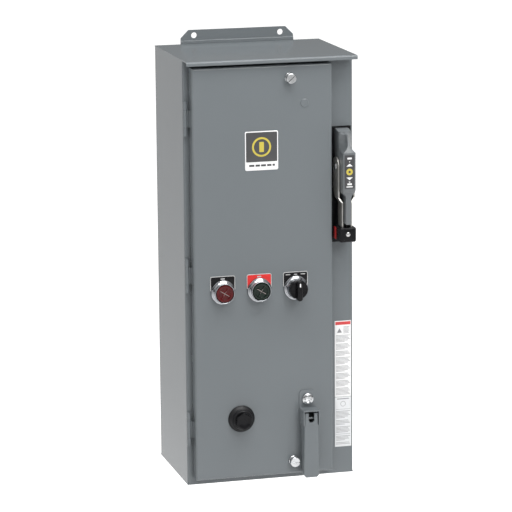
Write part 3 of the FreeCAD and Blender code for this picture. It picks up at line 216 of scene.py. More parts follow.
def turned(profile, sides=96, relief=None, ring=False):
    """Surface of revolution: (radius, out) carried once round the out axis. relief(across, up,
    out) is added to the height."""
    profile = np.asarray(profile, float)
    if not ring:
        profile = profile[profile[:, 0] > 1e-6]
    angle = np.linspace(0, TURN, sides, endpoint=False)
    radius, out = profile[:, :1], profile[:, 1:]
    across, up = radius * np.cos(angle), radius * np.sin(angle)
    height = np.broadcast_to(out, across.shape)
    if relief is not None:
        height = height + relief(across, up, height)
    return shell(np.stack([across, up, height], axis=-1), ring)


def round_loop(width, height, radius, steps=8):
    """Rounded rectangle about the origin: four quarter circles joined by straight edges."""
    angle = np.linspace(0, math.pi / 2, steps)[None, :] + (np.arange(4) * math.pi / 2)[:, None]
    right = np.array([1, -1, -1, 1])[:, None]
    top = np.array([1, 1, -1, -1])[:, None]
    across = right * (width / 2 - radius) + radius * np.cos(angle)
    up = top * (height / 2 - radius) + radius * np.sin(angle)
    return np.stack([across, up], axis=-1).reshape(-1, 2)


def quarter(edge, steps=5):
    """(inset, drop) of a quarter-round edge, from the side up to the face."""
    angle = np.linspace(0, math.pi / 2, steps)
    return edge * (1 - np.cos(angle)), edge * (1 - np.sin(angle))


def stack(loop, heights, insets):
    """Loops at each height, each made by loop(inset)."""
    return np.stack([np.column_stack([loop(inset), np.full(len(loop(inset)), height)])
                     for height, inset in zip(heights, insets)])


def solid(loop, low, high, edge, back_edge=0.0):
    """Upright solid on a loop, with its front edge rounded, and its back edge too if asked."""
    inset, drop = quarter(edge)
    heights, insets = high - drop, inset
    if back_edge:
        back_inset, back_drop = quarter(back_edge, 4)
        heights = np.concatenate([low + back_drop[::-1], heights])
        insets = np.concatenate([back_inset[::-1], insets])
    else:
        heights, insets = np.append(low, heights), np.append(0.0, insets)
    return shell(stack(loop, heights, insets))


def tile(width, height, corner, low, high, edge, at=(0, 0), back_edge=0.0):
    """Rounded plate, `width` by `height`, between two heights."""
    def loop(inset):
        radius = max(corner - inset, 0.05)
        return round_loop(width - 2 * inset, height - 2 * inset, radius) + np.array(at)
    return solid(loop, low, high, edge, back_edge)


def shape(corners, low, high, edge=0.03):
    """Flat many-cornered mark: its outline shrunk towards its mean by the front edge."""
    corners = np.asarray(corners, float)
    centre = corners.mean(axis=0)
    reach = np.linalg.norm(corners - centre, axis=1).max()

    def loop(inset):
        return centre + (corners - centre) * (1 - inset / reach)
    return solid(loop, low, high, edge)


def joined(*parts):
    """Several (points, faces) as one."""
    points, faces, offset = [], [], 0
    for part_points, part_faces in parts:
        points.append(part_points)
        faces += [[corner + offset for corner in face] for face in part_faces]
        offset += len(part_points)
    return np.vstack(points), faces


def placed(part, origin, way=FORWARD):
    """A local part put in the row frame."""
    return seat(part[0], origin, way), part[1]


def all_placed(parts, origin):
    """Every [(local part, material name)] put at one origin on a front face."""
    return [(placed(part, origin), look) for part, look in parts]


def add_piece(name, parts, body, slot, stands_for=(), sharp=38.0):
    """One mesh object from [(part, material name)], in millimetres in the row frame. It rides
    on a body, takes its finish from a slot and stands for CAD nodes."""
    points, faces = joined(*[part for part, _ in parts])
    mesh = bpy.data.meshes.new(name)
    mesh.from_pydata((points * MM).tolist(), [], faces)
    names = list(dict.fromkeys(material for _, material in parts))
    for material in names:
        mesh.materials.append(bpy.data.materials[material])
    index = np.concatenate([np.full(len(part[1]), names.index(material), np.int32)
                            for part, material in parts])
    mesh.polygons.foreach_set("material_index", index)
    if mesh.validate():
        raise RuntimeError("%s had faulty faces" % name)
    mesh.shade_smooth()
    mesh.set_sharp_from_angle(angle=math.radians(sharp))
    piece = bpy.data.objects.new(name, mesh)
    bpy.context.scene.collection.objects.link(piece)
    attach(piece, body)
    if stands_for:
        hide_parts(*stands_for)
    return piece


# ---------------------------------------------------------------- finishes

class Finish:
    """One node material: patterns on object coordinates feed its shader."""

    def __init__(self, name, colour, roughness, metallic=0.0, **sockets):
        self.material = bpy.data.materials.new(name)
        self.material.use_nodes = True
        self.material.diffuse_color = (*colour, 1.0)
        self.nodes = self.material.node_tree.nodes
        self.links = self.material.node_tree.links
        self.shader = self.nodes["Principled BSDF"]
        self.shader.inputs["Base Color"].default_value = (*colour, 1.0)
        self.shader.inputs["Roughness"].default_value = roughness
        self.shader.inputs["Metallic"].default_value = metallic
        for socket, value in sockets.items():
            self.shader.inputs[socket.replace("_", " ")].default_value = value
        self.place = self.nodes.new("ShaderNodeTexCoord").outputs["Object"]

    def add(self, kind, **inputs):
        """A node with values or links given by input name."""
        node = self.nodes.new("ShaderNode" + kind)
        self.fill(node, inputs)
        return node

    def fill(self, node, inputs):
        for key, value in inputs.items():
            socket = node.inputs[int(key[1:])] if key[0] == "i" and key[1:].isdigit() else \
                node.inputs[key.replace("_", " ")]
            if isinstance(value, bpy.types.NodeSocket):
                self.links.new(value, socket)
            else:
                socket.default_value = value

    def noise(self, scale, detail=2.0, stretch=(1.0, 1.0, 1.0)):
        """Cloudy pattern, `scale` cells to the metre, stretched along the axes."""
        mapping = self.add("Mapping", Vector=self.place, Scale=stretch)
        return self.add("TexNoise", Vector=mapping.outputs[0], Scale=scale, Detail=detail).outputs[0]

    def remap(self, value, low, high, start=0.3, end=0.7):
        """The value's run from start to end turned into low to high."""
        node = self.add("MapRange", Value=value, From_Min=start, From_Max=end, To_Min=low, To_Max=high)
        return node.outputs[0]

    def maths(self, operation, first, second=0.0):
        node = self.nodes.new("ShaderNodeMath")
        node.operation = operation
        self.fill(node, {"i0": first, "i1": second})
        return node.outputs[0]

    def mix(self, factor, first, second):
        """Blend of two colours."""
        node = self.nodes.new("ShaderNodeMix")
        node.data_type = "RGBA"
        self.fill(node, {"i0": factor})
        for socket, value in ((node.inputs[6], first), (node.inputs[7], second)):
            if isinstance(value, bpy.types.NodeSocket):
                self.links.new(value, socket)
            else:
                socket.default_value = (*value, 1.0)
        return node.outputs[2]

    def colour(self, value):
        self.links.new(value, self.shader.inputs["Base Color"])

    def roughness(self, value):
        self.links.new(value, self.shader.inputs["Roughness"])

    def bump(self, height, distance, strength=1.0):
        """Bump whose full height is `distance` metres."""
        node = self.add("Bump", Height=height, Distance=distance, Strength=strength)
        self.links.new(node.outputs[0], self.shader.inputs["Normal"])

    def axis(self, letter):
        """One object coordinate."""
        split = self.add("SeparateXYZ", Vector=self.place)
        return split.outputs["XYZ".index(letter)]


def tinted(colour, amount):
    """The colour made lighter, or darker where amount is negative."""
    return tuple(min(1.0, max(0.0, part * (1 + amount))) for part in colour)


def grained(name, colour, rough, metallic=0.0, tint=0.05, patch=6.0, grain=500.0,
            stretch=(1.0, 1.0, 1.0), depth=0.00002, **sockets):
    """Colour that drifts in wide patches, roughness that drifts with a finer pattern between
    rough[0] and rough[1], and a fine grain raised `depth` metres."""
    finish = Finish(name, colour, sum(rough) / 2, metallic, **sockets)
    wide = finish.noise(patch, 3.0)
    fine = finish.noise(grain, 2.0, stretch)
    drift = finish.remap(wide, 0.0, 1.0)
    finish.colour(finish.mix(drift, tinted(colour, -tint), tinted(colour, tint)))
    finish.roughness(finish.remap(fine, rough[0], rough[1]))
    finish.bump(fine, depth)
    return finish


# Finish of each material slot: roughness from and to, then what differs from a plain grain.
FINISHES = {
    "enclosure_paint": ((0.13, 0.19), dict(tint=0.025, patch=5.0, grain=420.0, depth=0.000005,
                                           Specular_IOR_Level=0.36)),
    "cast_paint": ((0.30, 0.42), dict(tint=0.04, patch=40.0, grain=650.0, depth=0.00006,
                                      Coat_Weight=0.2, Coat_Roughness=0.25)),
    "plated_steel": ((0.14, 0.26), dict(metallic=1.0, tint=0.08, patch=120.0, grain=1500.0)),
    "galvanised_panel": ((0.30, 0.5), dict(metallic=1.0, tint=0.10, patch=60.0, grain=200.0)),
    "gasket_foam": ((0.85, 0.95), dict(tint=0.2, grain=1600.0, depth=0.0002)),
    "badge_print": ((0.28, 0.36), dict(tint=0.04, grain=900.0, depth=0.000008)),
    "badge_mark": ((0.28, 0.36), dict(tint=0.04, grain=900.0, depth=0.000008)),
    "legend_black": ((0.30, 0.42), dict(tint=0.1, grain=1200.0, depth=0.00001,
                                        Specular_IOR_Level=0.2)),
    "legend_red": ((0.30, 0.42), dict(tint=0.05, grain=1200.0, depth=0.00001)),
    "legend_edge": ((0.25, 0.38), dict(metallic=0.7, tint=0.05, grain=1500.0, depth=0.00001)),
    "chrome_trim": ((0.05, 0.12), dict(metallic=1.0, tint=0.03, patch=90.0, grain=700.0,
                                       depth=0.000006)),
    "red_lens": ((0.10, 0.18), dict(tint=0.25, patch=160.0, grain=900.0, depth=0.000005,
                                    Specular_IOR_Level=0.3)),
    "green_lens": ((0.10, 0.18), dict(tint=0.3, patch=160.0, grain=900.0, depth=0.000005,
                                      Specular_IOR_Level=0.3)),
    # The lens ribs' crests: pale colour painted as a highlight.
    "lens_rib": ((0.10, 0.18), dict(tint=0.2, patch=300.0, grain=900.0, depth=0.000005)),
    "black_plastic": ((0.20, 0.30), dict(tint=0.15, patch=60.0, grain=1400.0, depth=0.000005,
                                         Specular_IOR_Level=0.16)),
    "boot_rubber": ((0.34, 0.46), dict(tint=0.12, patch=80.0, grain=1300.0, depth=0.00002,
                                       Specular_IOR_Level=0.3)),
    "yoke_steel": ((0.30, 0.46), dict(metallic=0.9, tint=0.12, patch=70.0, grain=500.0,
                                      stretch=(1.0, 1.0, 0.12), depth=0.00002)),
    "flag_red": ((0.35, 0.45), dict(tint=0.08, grain=1000.0)),
    "rivet_aluminium": ((0.18, 0.30), dict(metallic=1.0, tint=0.05, patch=200.0, grain=1500.0)),
    "handle_print": ((0.32, 0.42), dict(tint=0.06, grain=900.0, depth=0.000008)),
    "label_white": ((0.38, 0.48), dict(tint=0.02, grain=900.0, depth=0.000008)),
    "label_grey": ((0.38, 0.48), dict(tint=0.02, grain=900.0, depth=0.000008)),
    "label_ink": ((0.40, 0.50), dict(tint=0.06, grain=900.0, depth=0.000008)),
    "label_band": ((0.38, 0.48), dict(tint=0.05, grain=900.0, depth=0.000008)),
    "moulded_base": ((0.30, 0.45), dict(tint=0.2, patch=50.0, grain=900.0, depth=0.00003)),
    "copper_contacts": ((0.22, 0.38), dict(metallic=1.0, tint=0.12, patch=80.0, grain=600.0,
                                           stretch=(1.0, 1.0, 0.15))),
    "fuse_body": ((0.45, 0.6), dict(tint=0.08, patch=70.0, grain=700.0, stretch=(1.0, 1.0, 0.1))),
    "coil_winding": ((0.5, 0.65), dict(tint=0.15, patch=60.0, grain=900.0,
                                       stretch=(0.1, 0.1, 1.0), depth=0.0001)),
    "core_steel": ((0.35, 0.5), dict(metallic=0.8, tint=0.15, patch=50.0, grain=1400.0,
                                     stretch=(0.05, 0.05, 1.0), depth=0.0001)),
    "reset_blue": ((0.3, 0.4), dict(tint=0.06, grain=900.0)),
    "lug_aluminium": ((0.28, 0.42), dict(metallic=1.0, tint=0.06, patch=100.0, grain=900.0)),
}


class STARTER_OT_finishes(bpy.types.Operator):
    """Make every finish and give the CAD nodes theirs"""
    bl_idname = "starter.finishes"
    bl_label = "Finishes"

    def execute(self, context):
        colours = context.scene.starter_colours
        for plain in list(bpy.data.materials):
            bpy.data.materials.remove(plain)
        for name, (rough, options) in FINISHES.items():
            grained(name, tuple(getattr(colours, name)), rough, **options)
        for part in frame["record"]["subparts"]:
            mesh = frame["nodes"][part["node"]].data
            finish = bpy.data.materials[part["material_slot"]]
            mesh.materials.clear()
            mesh.materials.append(finish)
        return {"FINISHED"}


# ---------------------------------------------------------------- stage

CAMERA_AT = (-1.2060, -4.6144, 0.9723)
CAMERA_TURN = (-11.697, 0.474, -15.005)
LENS_MM, SENSOR_MM, FAR_CLIP = 195.69, 36.0, 300.0
# Strength of the surroundings at the horizon and overhead, and the climb between which it rises.
HORIZON, ZENITH = 0.10, 0.95
CLIMB_FROM, CLIMB_TO = 0.08, 0.75
# The floor: metres below the object, half its side, its cells, its glow, and the X and Y in
# metres over which the glow fades in.
FLOOR_DROP, FLOOR_HALF, FLOOR_CELLS, FLOOR_GLOW = 0.45, 60.0, 8, 0.40
GLOW_ACROSS, GLOW_BEHIND = (-0.65, -0.28), (0.0, 0.9)
# Each lamp: name, place, size across and up in metres, power in watts.
LAMPS = (
    ("key_light", (0.95, -3.6, 2.05), (1.5, 1.5), 56.0),
    ("overhead_light", (0.2, -1.3, 2.7), (3.0, 1.6), 80.0),
    ("left_light", (-3.3, -0.9, 1.1), (1.6, 1.6), 4.0),
)


def turn(axis, degrees):
    return Matrix.Rotation(math.radians(degrees), 3, axis)


class STARTER_OT_stage(bpy.types.Operator):
    """Set the floor, the soft studio light and the camera"""
    bl_idname = "starter.stage"
    bl_label = "Stage"

    def execute(self, context):
        scene = context.scene
        colours = scene.starter_colours
        self.floor(scene, tuple(colours.floor))
        self.light(scene)
        camera = bpy.data.cameras.new("studio_camera")
        camera.lens = LENS_MM
        camera.sensor_width = SENSOR_MM
        camera.clip_end = FAR_CLIP
        holder = bpy.data.objects.new("studio_camera", camera)
        scene.collection.objects.link(holder)
        pitch, roll, yaw = CAMERA_TURN
        way = turn("Z", yaw) @ turn("X", pitch) @ turn("Y", roll)
        right, ahead, up = way.col[0], way.col[1], way.col[2]
        frame_of_view = Matrix((right, up, -ahead)).transposed()
        holder.matrix_world = Matrix.Translation(Vector(CAMERA_AT)) @ frame_of_view.to_4x4()
        scene.camera = holder
        scene.view_settings.view_transform = "Standard"
        return {"FINISHED"}

    def floor(self, scene, colour):
        """A wide flat sheet below the object, which hangs on a wall. It glows by the product of
        a ramp along X and a ramp along Y, so only behind the object and away from its left."""
        level = CAD_BOX[0][2] - FLOOR_DROP
        row = FLOOR_CELLS + 1
        side = np.linspace(-FLOOR_HALF, FLOOR_HALF, row)
        across, deep = np.meshgrid(side, side, indexing="xy")
        points = np.stack([across, deep, np.full(across.shape, level)], axis=-1).reshape(-1, 3)
        i, j = np.meshgrid(np.arange(FLOOR_CELLS), np.arange(FLOOR_CELLS), indexing="ij")
        start = (i * row + j).reshape(-1)
        faces = np.stack([start, start + 1, start + row + 1, start + row], axis=1)
        mesh = bpy.data.meshes.new("studio_floor")
        mesh.from_pydata(points.tolist(), [], faces.tolist())
        finish = grained("floor", colour, (0.55, 0.7), tint=0.01, patch=2.0, grain=60.0,
                         Emission_Color=(1.0, 1.0, 1.0, 1.0))
        aside = finish.remap(finish.axis("X"), 0.0, 1.0, *GLOW_ACROSS)
        behind = finish.remap(finish.axis("Y"), 0.0, FLOOR_GLOW, *GLOW_BEHIND)
        glow = finish.maths("MULTIPLY", aside, behind)
        finish.links.new(glow, finish.shader.inputs["Emission Strength"])
        mesh.materials.append(finish.material)
        sheet = bpy.data.objects.new("studio_floor", mesh)
        scene.collection.objects.link(sheet)

    def light(self, scene):
        """Pale surroundings, darker at the horizon than overhead, and broad soft lamps."""
        world = bpy.data.worlds.new("studio")
        world.use_nodes = True
        nodes, links = world.node_tree.nodes, world.node_tree.links
        background = nodes["Background"]
        place = nodes.new("ShaderNodeTexCoord")
        split = nodes.new("ShaderNodeSeparateXYZ")
        climb = nodes.new("ShaderNodeMapRange")
        climb.inputs["From Min"].default_value = CLIMB_FROM
        climb.inputs["From Max"].default_value = CLIMB_TO
        climb.inputs["To Min"].default_value = HORIZON
        climb.inputs["To Max"].default_value = ZENITH
        links.new(place.outputs["Generated"], split.inputs[0])
        links.new(split.outputs["Z"], climb.inputs["Value"])
        links.new(climb.outputs[0], background.inputs["Strength"])
        background.inputs["Color"].default_value = (1.0, 1.0, 1.0, 1.0)
        scene.world = world
        for name, at, size, power in LAMPS:
            lamp = bpy.data.lights.new(name, "AREA")
            lamp.shape = "RECTANGLE"
            lamp.size, lamp.size_y = size
            lamp.energy = power
            holder = bpy.data.objects.new(name, lamp)
            scene.collection.objects.link(holder)
            aim = (Vector((0.0, -0.1, 0.0)) - Vector(at)).to_track_quat("-Z", "Y")
            holder.matrix_world = Matrix.Translation(at) @ aim.to_matrix().to_4x4()


OPERATORS = [STARTER_OT_finishes, STARTER_OT_stage]


def builder(label):
    """Turn a function of the sizes into an operator, listed in the order of definition."""
    def make(build):
        def execute(self, context):
            build(context.scene.starter_sizes)
            return {"FINISHED"}
        name = build.__name__
        OPERATORS.append(type("STARTER_OT_" + name, (bpy.types.Operator,), {
            "__doc__": build.__doc__, "bl_idname": "starter." + name, "bl_label": label,
            "execute": execute}))
        return build
    return make


# ---------------------------------------------------------------- door badge and plug

@builder("Door badge")
def nameplate(sizes):
    """Build the door badge with a plain mark of one ring and one bar"""
    low, high = span("nameplate")
    width, height = high[0] - low[0], high[2] - low[2]
    thick = high[1] - low[1]
    border, foot = sizes.badge_border / MM, sizes.badge_foot / MM
    field_height = height - 2 * border - foot
    field_middle = foot / 2
    origin = ((low[0] + high[0]) / 2, high[1], (low[2] + high[2]) / 2)
    plate = tile(width, height, 2.6, 0.0, thick, 0.25)
    field = tile(width - 2 * border, field_height, 1.6, 0.05, thick + 0.03, 0.03,
                 at=(0, field_middle))
    face = thick + 0.06
    ring = turned(rounded([(13.2, 0.2), (16.4, 0.2), (16.4, face), (13.2, face)], 0.02), ring=True)
    ring = (ring[0] + np.array([0, field_middle, 0]), ring[1])
    bar = tile(8.0, 17.0, 1.2, 0.05, face, 0.03, at=(0, field_middle))
    parts = [(plate, "label_white"), (field, "badge_print"), (ring, "badge_mark"),
             (bar, "badge_mark")]
    line = -height / 2 + border + foot * 0.52
    for offset, wide in ((-17.2, 9.0), (-6.8, 7.6), (3.0, 8.6), (13.0, 7.4), (20.6, 4.0)):
        parts.append((tile(wide, 3.4, 0.5, 0.05, thick + 0.03, 0.03, at=(offset, line)), "badge_print"))
    add_piece("door_badge", all_placed(parts, origin),
              "door", "badge_print", ["nameplate"])


@builder("Hole plug")
def hole_plug(sizes):
    """Build the painted plug that closes the spare hole in the door"""
    low, high = span("hole_plug")
    door_face = span("door_panel")[0][1]
    radius = (high[0] - low[0]) / 2
    out = door_face - low[1]
    profile = [(0, -high[1] + door_face), (radius * 0.72, -high[1] + door_face),
               (radius * 0.72, -0.3), (radius, 0.0), (radius, out * 0.35),
               (radius * 0.86, out), (radius * 0.55, out * 0.72), (0.3, out * 0.62), (0, out * 0.62)]
    part = turned(rounded(profile, 0.9), 72)
    centre = middle("hole_plug")
    add_piece("door_plug", [(placed(part, (centre[0], door_face, centre[2])), "enclosure_paint")],
              "door", "enclosure_paint", ["hole_plug"])


# ---------------------------------------------------------------- operators on the door

def device_places():
    """Places on the door face of the two pilot lights and the selector, in millimetres."""
    door_face = span("door_panel")[0][1]
    places = []
    for node in ("lens_red", "lens_green"):
        centre = middle(node)
        places.append(np.array([centre[0], door_face, centre[2]]))
    pitch = places[1] - places[0]
    places.append(places[1] + pitch)
    return places


LEGEND_FOOT, LEGEND_HUB = 3.0, 19.7  # millimetres above the device's middle, and round it


def legend_loop(half, rise, corner, foot, hub):
    """Rounded square end from `foot` up to `rise`, and below it an arc of radius `hub` about the
    device. A function of the inset from the edge."""
    def loop(inset):
        side, top = half - inset, rise - inset
        radius = max(corner - inset, 0.1)
        start = math.asin(foot / hub)
        below = np.linspace(math.pi - start, TURN + start, 40)
        right = np.linspace(0, math.pi / 2, 8)
        left = right + math.pi / 2
        across = np.concatenate([hub * np.cos(below), [side], side - radius + radius * np.cos(right),
                                 radius - side + radius * np.cos(left), [-side]])
        up = np.concatenate([hub * np.sin(below), [foot + inset], top - radius + radius * np.sin(right),
                             top - radius + radius * np.sin(left), [foot + inset]])
        return np.stack([across, up], axis=-1)
    return loop


@builder("Legend plates")
def legend_plates(sizes):
    """Build the three legend plates with bare edges and plain bars for print"""
    low, high = span("legend_plate_red")
    half = (high[0] - low[0]) / 2
    rise = high[2] - middle("lens_green")[2]
    thick = high[1] - low[1]
    edge, corner = sizes.legend_edge / MM, sizes.legend_corner / MM
    face = thick + 0.04
    foot, hub = LEGEND_FOOT, LEGEND_HUB
    plate = solid(legend_loop(half, rise, corner, foot, hub), 0.0, thick, 0.25)
    field = solid(legend_loop(half - edge, rise - edge, corner - edge * 0.6, foot + edge, hub),
                  0.1, face, 0.03)
    line = rise - edge - 3.4
    one_bar = [tile(7.0, 2.2, 0.5, 0.1, face + 0.03, 0.03, at=(0, line))]
    three_bars = [tile(wide, 1.7, 0.5, 0.1, face + 0.03, 0.03, at=(offset, line))
                  for offset, wide in ((-13.0, 8.0), (0.0, 5.6), (13.0, 8.0))]
    for name, place, finish, bars, slot, replaced in (
            ("legend_left", device_places()[0], "legend_black", one_bar, "legend_black",
             ["legend_plates_black"]),
            ("legend_middle", device_places()[1], "legend_red", one_bar, "legend_red",
             ["legend_plate_red"]),
            ("legend_right", device_places()[2], "legend_black", three_bars, "legend_black", [])):
        parts = [(plate, "legend_edge"), (field, finish)] + [(bar, "legend_edge") for bar in bars]
        add_piece(name, all_placed(parts, place), "door", slot, replaced)


def nut(inner, flat, corner, low, high, sides=8):
    """Ring nut: a many-sided outline, radius flat / cos(angle from the face's middle) cut off at
    `corner`, whose front is chamfered by a cone, round a plain bore."""
    angle = np.linspace(0, TURN, 192, endpoint=False)
    sector = TURN / sides
    outline = np.minimum(flat / np.cos((angle + sector / 2) % sector - sector / 2), corner)
    heights = np.array([low, low, high - 2.2, high - 1.2, high - 0.5, high - 0.12, high, high, low])
    cone = np.array([inner, 99.0, 99.0, corner - 0.25, corner - 1.5, corner - 2.5, corner - 3.2,
                     inner, inner])
    radius = np.minimum(outline[None, :], cone[:, None])
    radius[-1] = inner
    grid = np.stack([radius * np.cos(angle), radius * np.sin(angle),
                     np.broadcast_to(heights[:, None], radius.shape)], axis=-1)
    return shell(grid[:-1], ring=True)


@builder("Chrome rings")
def chrome_rings(sizes):
    """Build the chromed nuts and stepped bezels of the three operators"""
    rim = sizes.rim / MM
    door_face = span("door_panel")[0][1]
    nut_low, nut_high = span("ring_nuts")
    base, face = door_face - nut_high[1], door_face - nut_low[1]
    lens_face = door_face - span("lens_red")[0][1]
    ring = nut(15.2, 20.1, 20.75, base, face)
    light = [(12.5, 0.9), (15.1, 0.9), (15.1, face), (18.4, face), (18.4, face + 1.3),
             (16.0, face + 3.0), (15.7, face + 4.6), (rim - 0.5, face + 6.4), (rim, face + 8.2),
             (rim, lens_face - 1.2), (rim - 0.5, lens_face - 0.3), (rim - 1.3, lens_face - 0.4),
             (rim - 2.2, lens_face - 2.2), (rim - 2.3, lens_face - 4.0), (12.5, lens_face - 4.0)]
    knob_face = door_face - span("operator_bezels")[0][1]
    switch = [(12.0, 0.9), (15.1, 0.9), (15.1, face), (18.6, face), (18.4, face + 1.4),
              (16.8, face + 2.8), (16.6, face + 5.0), (15.6, face + 6.6), (15.3, knob_face),
              (12.0, knob_face)]
    for name, place, profile, replaced in (
            ("chrome_left", device_places()[0], light, ["ring_nuts"]),
            ("chrome_middle", device_places()[1], light, []),
            ("chrome_right", device_places()[2], switch, ["operator_bezels"])):
        bezel = turned(rounded(profile, 0.45), 96, ring=True)
        parts = [(placed(ring, place), "chrome_trim"), (placed(bezel, place), "chrome_trim")]
        add_piece(name, parts, "door", "chrome_trim", replaced, sharp=30.0)


RIB_ANGLE = math.radians(32.0)  # fall of the lenses' long rib


@builder("Pilot lenses")
def pilot_lenses(sizes):
    """Build the red and green lenses with crossed facets inside a plain ring"""
    radius = sizes.lens / MM
    door_face = span("door_panel")[0][1]
    face = door_face - span("lens_red")[0][1] - 0.9
    well = radius * 0.70

    def facets(across, up, out):
        """Inside the well the face is sunk, and two crossed ribs of height
        exp(-(distance / width)^2) stand on it."""
        c, s = math.cos(RIB_ANGLE), math.sin(RIB_ANGLE)
        along, aside = across * c - up * s, across * s + up * c
        ribs = np.exp(-(aside / 1.0) ** 2) + 0.7 * np.exp(-(along / 0.9) ** 2)
        inside = (np.hypot(across, up) < well) & (out > face - 2.0)
        return np.where(inside, 0.8 * np.minimum(ribs, 1.0) - 1.4, 0.0)

    rings = np.linspace(well - 0.05, 0.15, 44)
    profile = [(11.6, 4.0), (11.6, face - 4.0), (radius, face - 4.0), (radius, face - 0.9),
               (radius - 0.5, face - 0.15), (radius - 1.4, face), (well + 0.5, face),
               (well + 0.05, face - 0.2)]
    profile = np.vstack([profile, np.column_stack([rings, np.full(len(rings), face)])])
    for name, node, place in (("lens_left", "lens_red", device_places()[0]),
                              ("lens_middle", "lens_green", device_places()[1])):
        slot = "red_lens" if node == "lens_red" else "green_lens"
        part = turned(profile, 192, facets)
        # Pale crests on the ribs: a painted highlight in place of the ribs' glint.
        ribs = [(shape(bar, face - 1.2, face - 0.25), "lens_rib") for bar in rib_crests(well)]
        add_piece(name, all_placed([(part, slot)] + ribs, place), "door", slot, [node],
                  sharp=24.0)


def rib_crests(well):
    """The clear crests of the two ribs: a long one that falls to the right and a short one."""
    c, s = math.cos(RIB_ANGLE), math.sin(RIB_ANGLE)
    way, aside = np.array([c, -s]), np.array([s, c])
    for half, width, first, second in ((well * 0.86, 0.42, way, aside),
                                       (well * 0.42, 0.22, aside, way)):
        yield np.array([-first * half - second * width, first * half - second * width,
                        first * half + second * width, -first * half + second * width])


@builder("Selector knob")
def selector(sizes):
    """Build the selector's drum, its bar grip and the white pointer"""
    door_face = span("door_panel")[0][1]
    low, high = span("selector_knob")
    place = device_places()[2]
    radius = (high[0] - low[0]) / 2
    tip = door_face - low[1]
    drum_back = door_face - span("operator_bezels")[0][1] + 0.4
    drum = drum_back + 8.8
    profile = [(0, 2.0), (11.7, 2.0), (11.7, drum_back), (radius, drum_back), (radius, drum - 0.9),
               (radius - 1.0, drum), (radius - 1.8, drum), (radius - 2.6, drum - 0.5),
               (4.0, drum - 0.7), (0.2, drum - 0.7), (0, drum - 0.7)]
    disc = turned(rounded(profile, 0.5), 96)
    bottom = low[2] - place[2]
    top = radius - 0.7
    bar_height, bar_middle = top - bottom, (top + bottom) / 2

    def bar_loop(inset):
        """Straight bar with a round foot and softly rounded head."""
        return round_loop(9.0 - 2 * inset, bar_height - 2 * inset, 4.45 - inset) + \
            np.array([0, bar_middle])
    inset, drop = quarter(2.4, 7)
    heights = np.concatenate([[drum - 3.0, drum - 0.7], tip - drop])
    insets = np.concatenate([[-0.5, -0.5], inset * 0.9])
    bar = shell(stack(bar_loop, heights, insets))
    pointer = tile(2.2, 6.4, 1.05, tip - 0.6, tip + 0.02, 0.15, at=(0, radius - 6.6))
    parts = [(disc, "black_plastic"), (bar, "black_plastic"), (pointer, "label_white")]
    add_piece("selector_grip", all_placed(parts, place),
              "selector", "black_plastic", ["selector_knob"])


# The reset cap's thickness, its push and the gap it keeps from the boot's seat, in millimetres.
RESET_CAP, RESET_PUSH, RESET_GAP = 4.6, 6.0, 0.8


@builder("Reset button")
def reset(sizes):
    """Build the reset's rubber boot and its six-sided cap on a stem"""
    door_face = span("door_panel")[0][1]
    boot_low, boot_high = span("reset_boot")
    cap_low, cap_high = span("reset_button")
    place = middle("reset_boot") * np.array([1, 0, 1]) + np.array([0, door_face, 0])
    radius = (boot_high[0] - boot_low[0]) / 2
    back, rear = door_face - boot_high[1], door_face - boot_low[1]
    seat_of_cap = door_face - cap_low[1] - RESET_CAP - RESET_PUSH - RESET_GAP
    boot = [(10.2, back), (14.4, back), (14.4, 0.0), (radius, 0.0), (radius, 1.6),
            (radius - 1.6, 3.6), (radius - 3.4, 5.4), (radius - 4.2, 6.2), (17.4, 6.6),
            (16.6, 9.0), (16.4, 11.0), (15.2, rear), (12.6, rear), (12.2, rear - 0.6),
            (12.2, seat_of_cap), (10.2, seat_of_cap - 0.6)]
    shell_of_boot = turned(rounded(boot, 0.9), 96, ring=True)
    add_piece("rubber_boot", [(placed(shell_of_boot, place), "boot_rubber")],
              "door", "boot_rubber", ["reset_boot"])
    tip = door_face - cap_low[1]
    stem = [(0, door_face - cap_high[1]), (4.0, door_face - cap_high[1]), (4.0, -19.2),
            (9.9, -19.2), (9.9, tip - RESET_CAP), (0.3, tip - RESET_CAP),
            (0, tip - RESET_CAP)]
    stem = turned(rounded(stem, 0.4), 72)
    angle = np.linspace(0, TURN, 144, endpoint=False)
    sector = TURN / 6
    flat = (cap_high[0] - cap_low[0]) / 2
    outline = np.minimum(flat / np.cos(angle % sector - sector / 2), flat * 1.11)
    inset, drop = quarter(1.4, 6)
    heights = np.concatenate([[tip - RESET_CAP, tip - 4.0], tip - drop,
                              [tip - 0.1, tip - 0.7, tip - 0.9]])
    scale = np.concatenate([[0.86, 1.0], 1 - inset / flat, [0.78, 0.66, 0.30]])
    radius = outline[None, :] * scale[:, None]
    grid = np.stack([radius * np.sin(angle), radius * -np.cos(angle),
                     np.broadcast_to(heights[:, None], radius.shape)], axis=-1)
    cap = shell(grid)
    add_piece("reset_cap", all_placed([(stem, "black_plastic"), (cap, "black_plastic")], place),
              "reset", "black_plastic", ["reset_button"])


# ---------------------------------------------------------------- screws

def slotted(width, deep, angle, face):
    """Relief of a straight slot across a head, `angle` degrees from level."""
    c, s = math.cos(math.radians(angle)), math.sin(math.radians(angle))

    def relief(across, up, out):
        off = np.abs(up * c - across * s)
        fall = np.clip((width / 2 + 0.12 - off) / 0.24, 0, 1)
        return np.where(out > face - 0.8, -deep * fall, 0.0)
    return relief


def crossed(width, reach, deep, face):
    """Relief of a cross recess whose floor falls towards its middle."""
    def relief(across, up, out):
        near, far = np.minimum(abs(across), abs(up)), np.maximum(abs(across), abs(up))
        fall = np.clip((width / 2 + 0.15 - near) / 0.3, 0, 1) * np.clip((reach - far) / 0.8, 0, 1)
        return np.where(out > face - 2.0, -deep * fall, 0.0)
    return relief


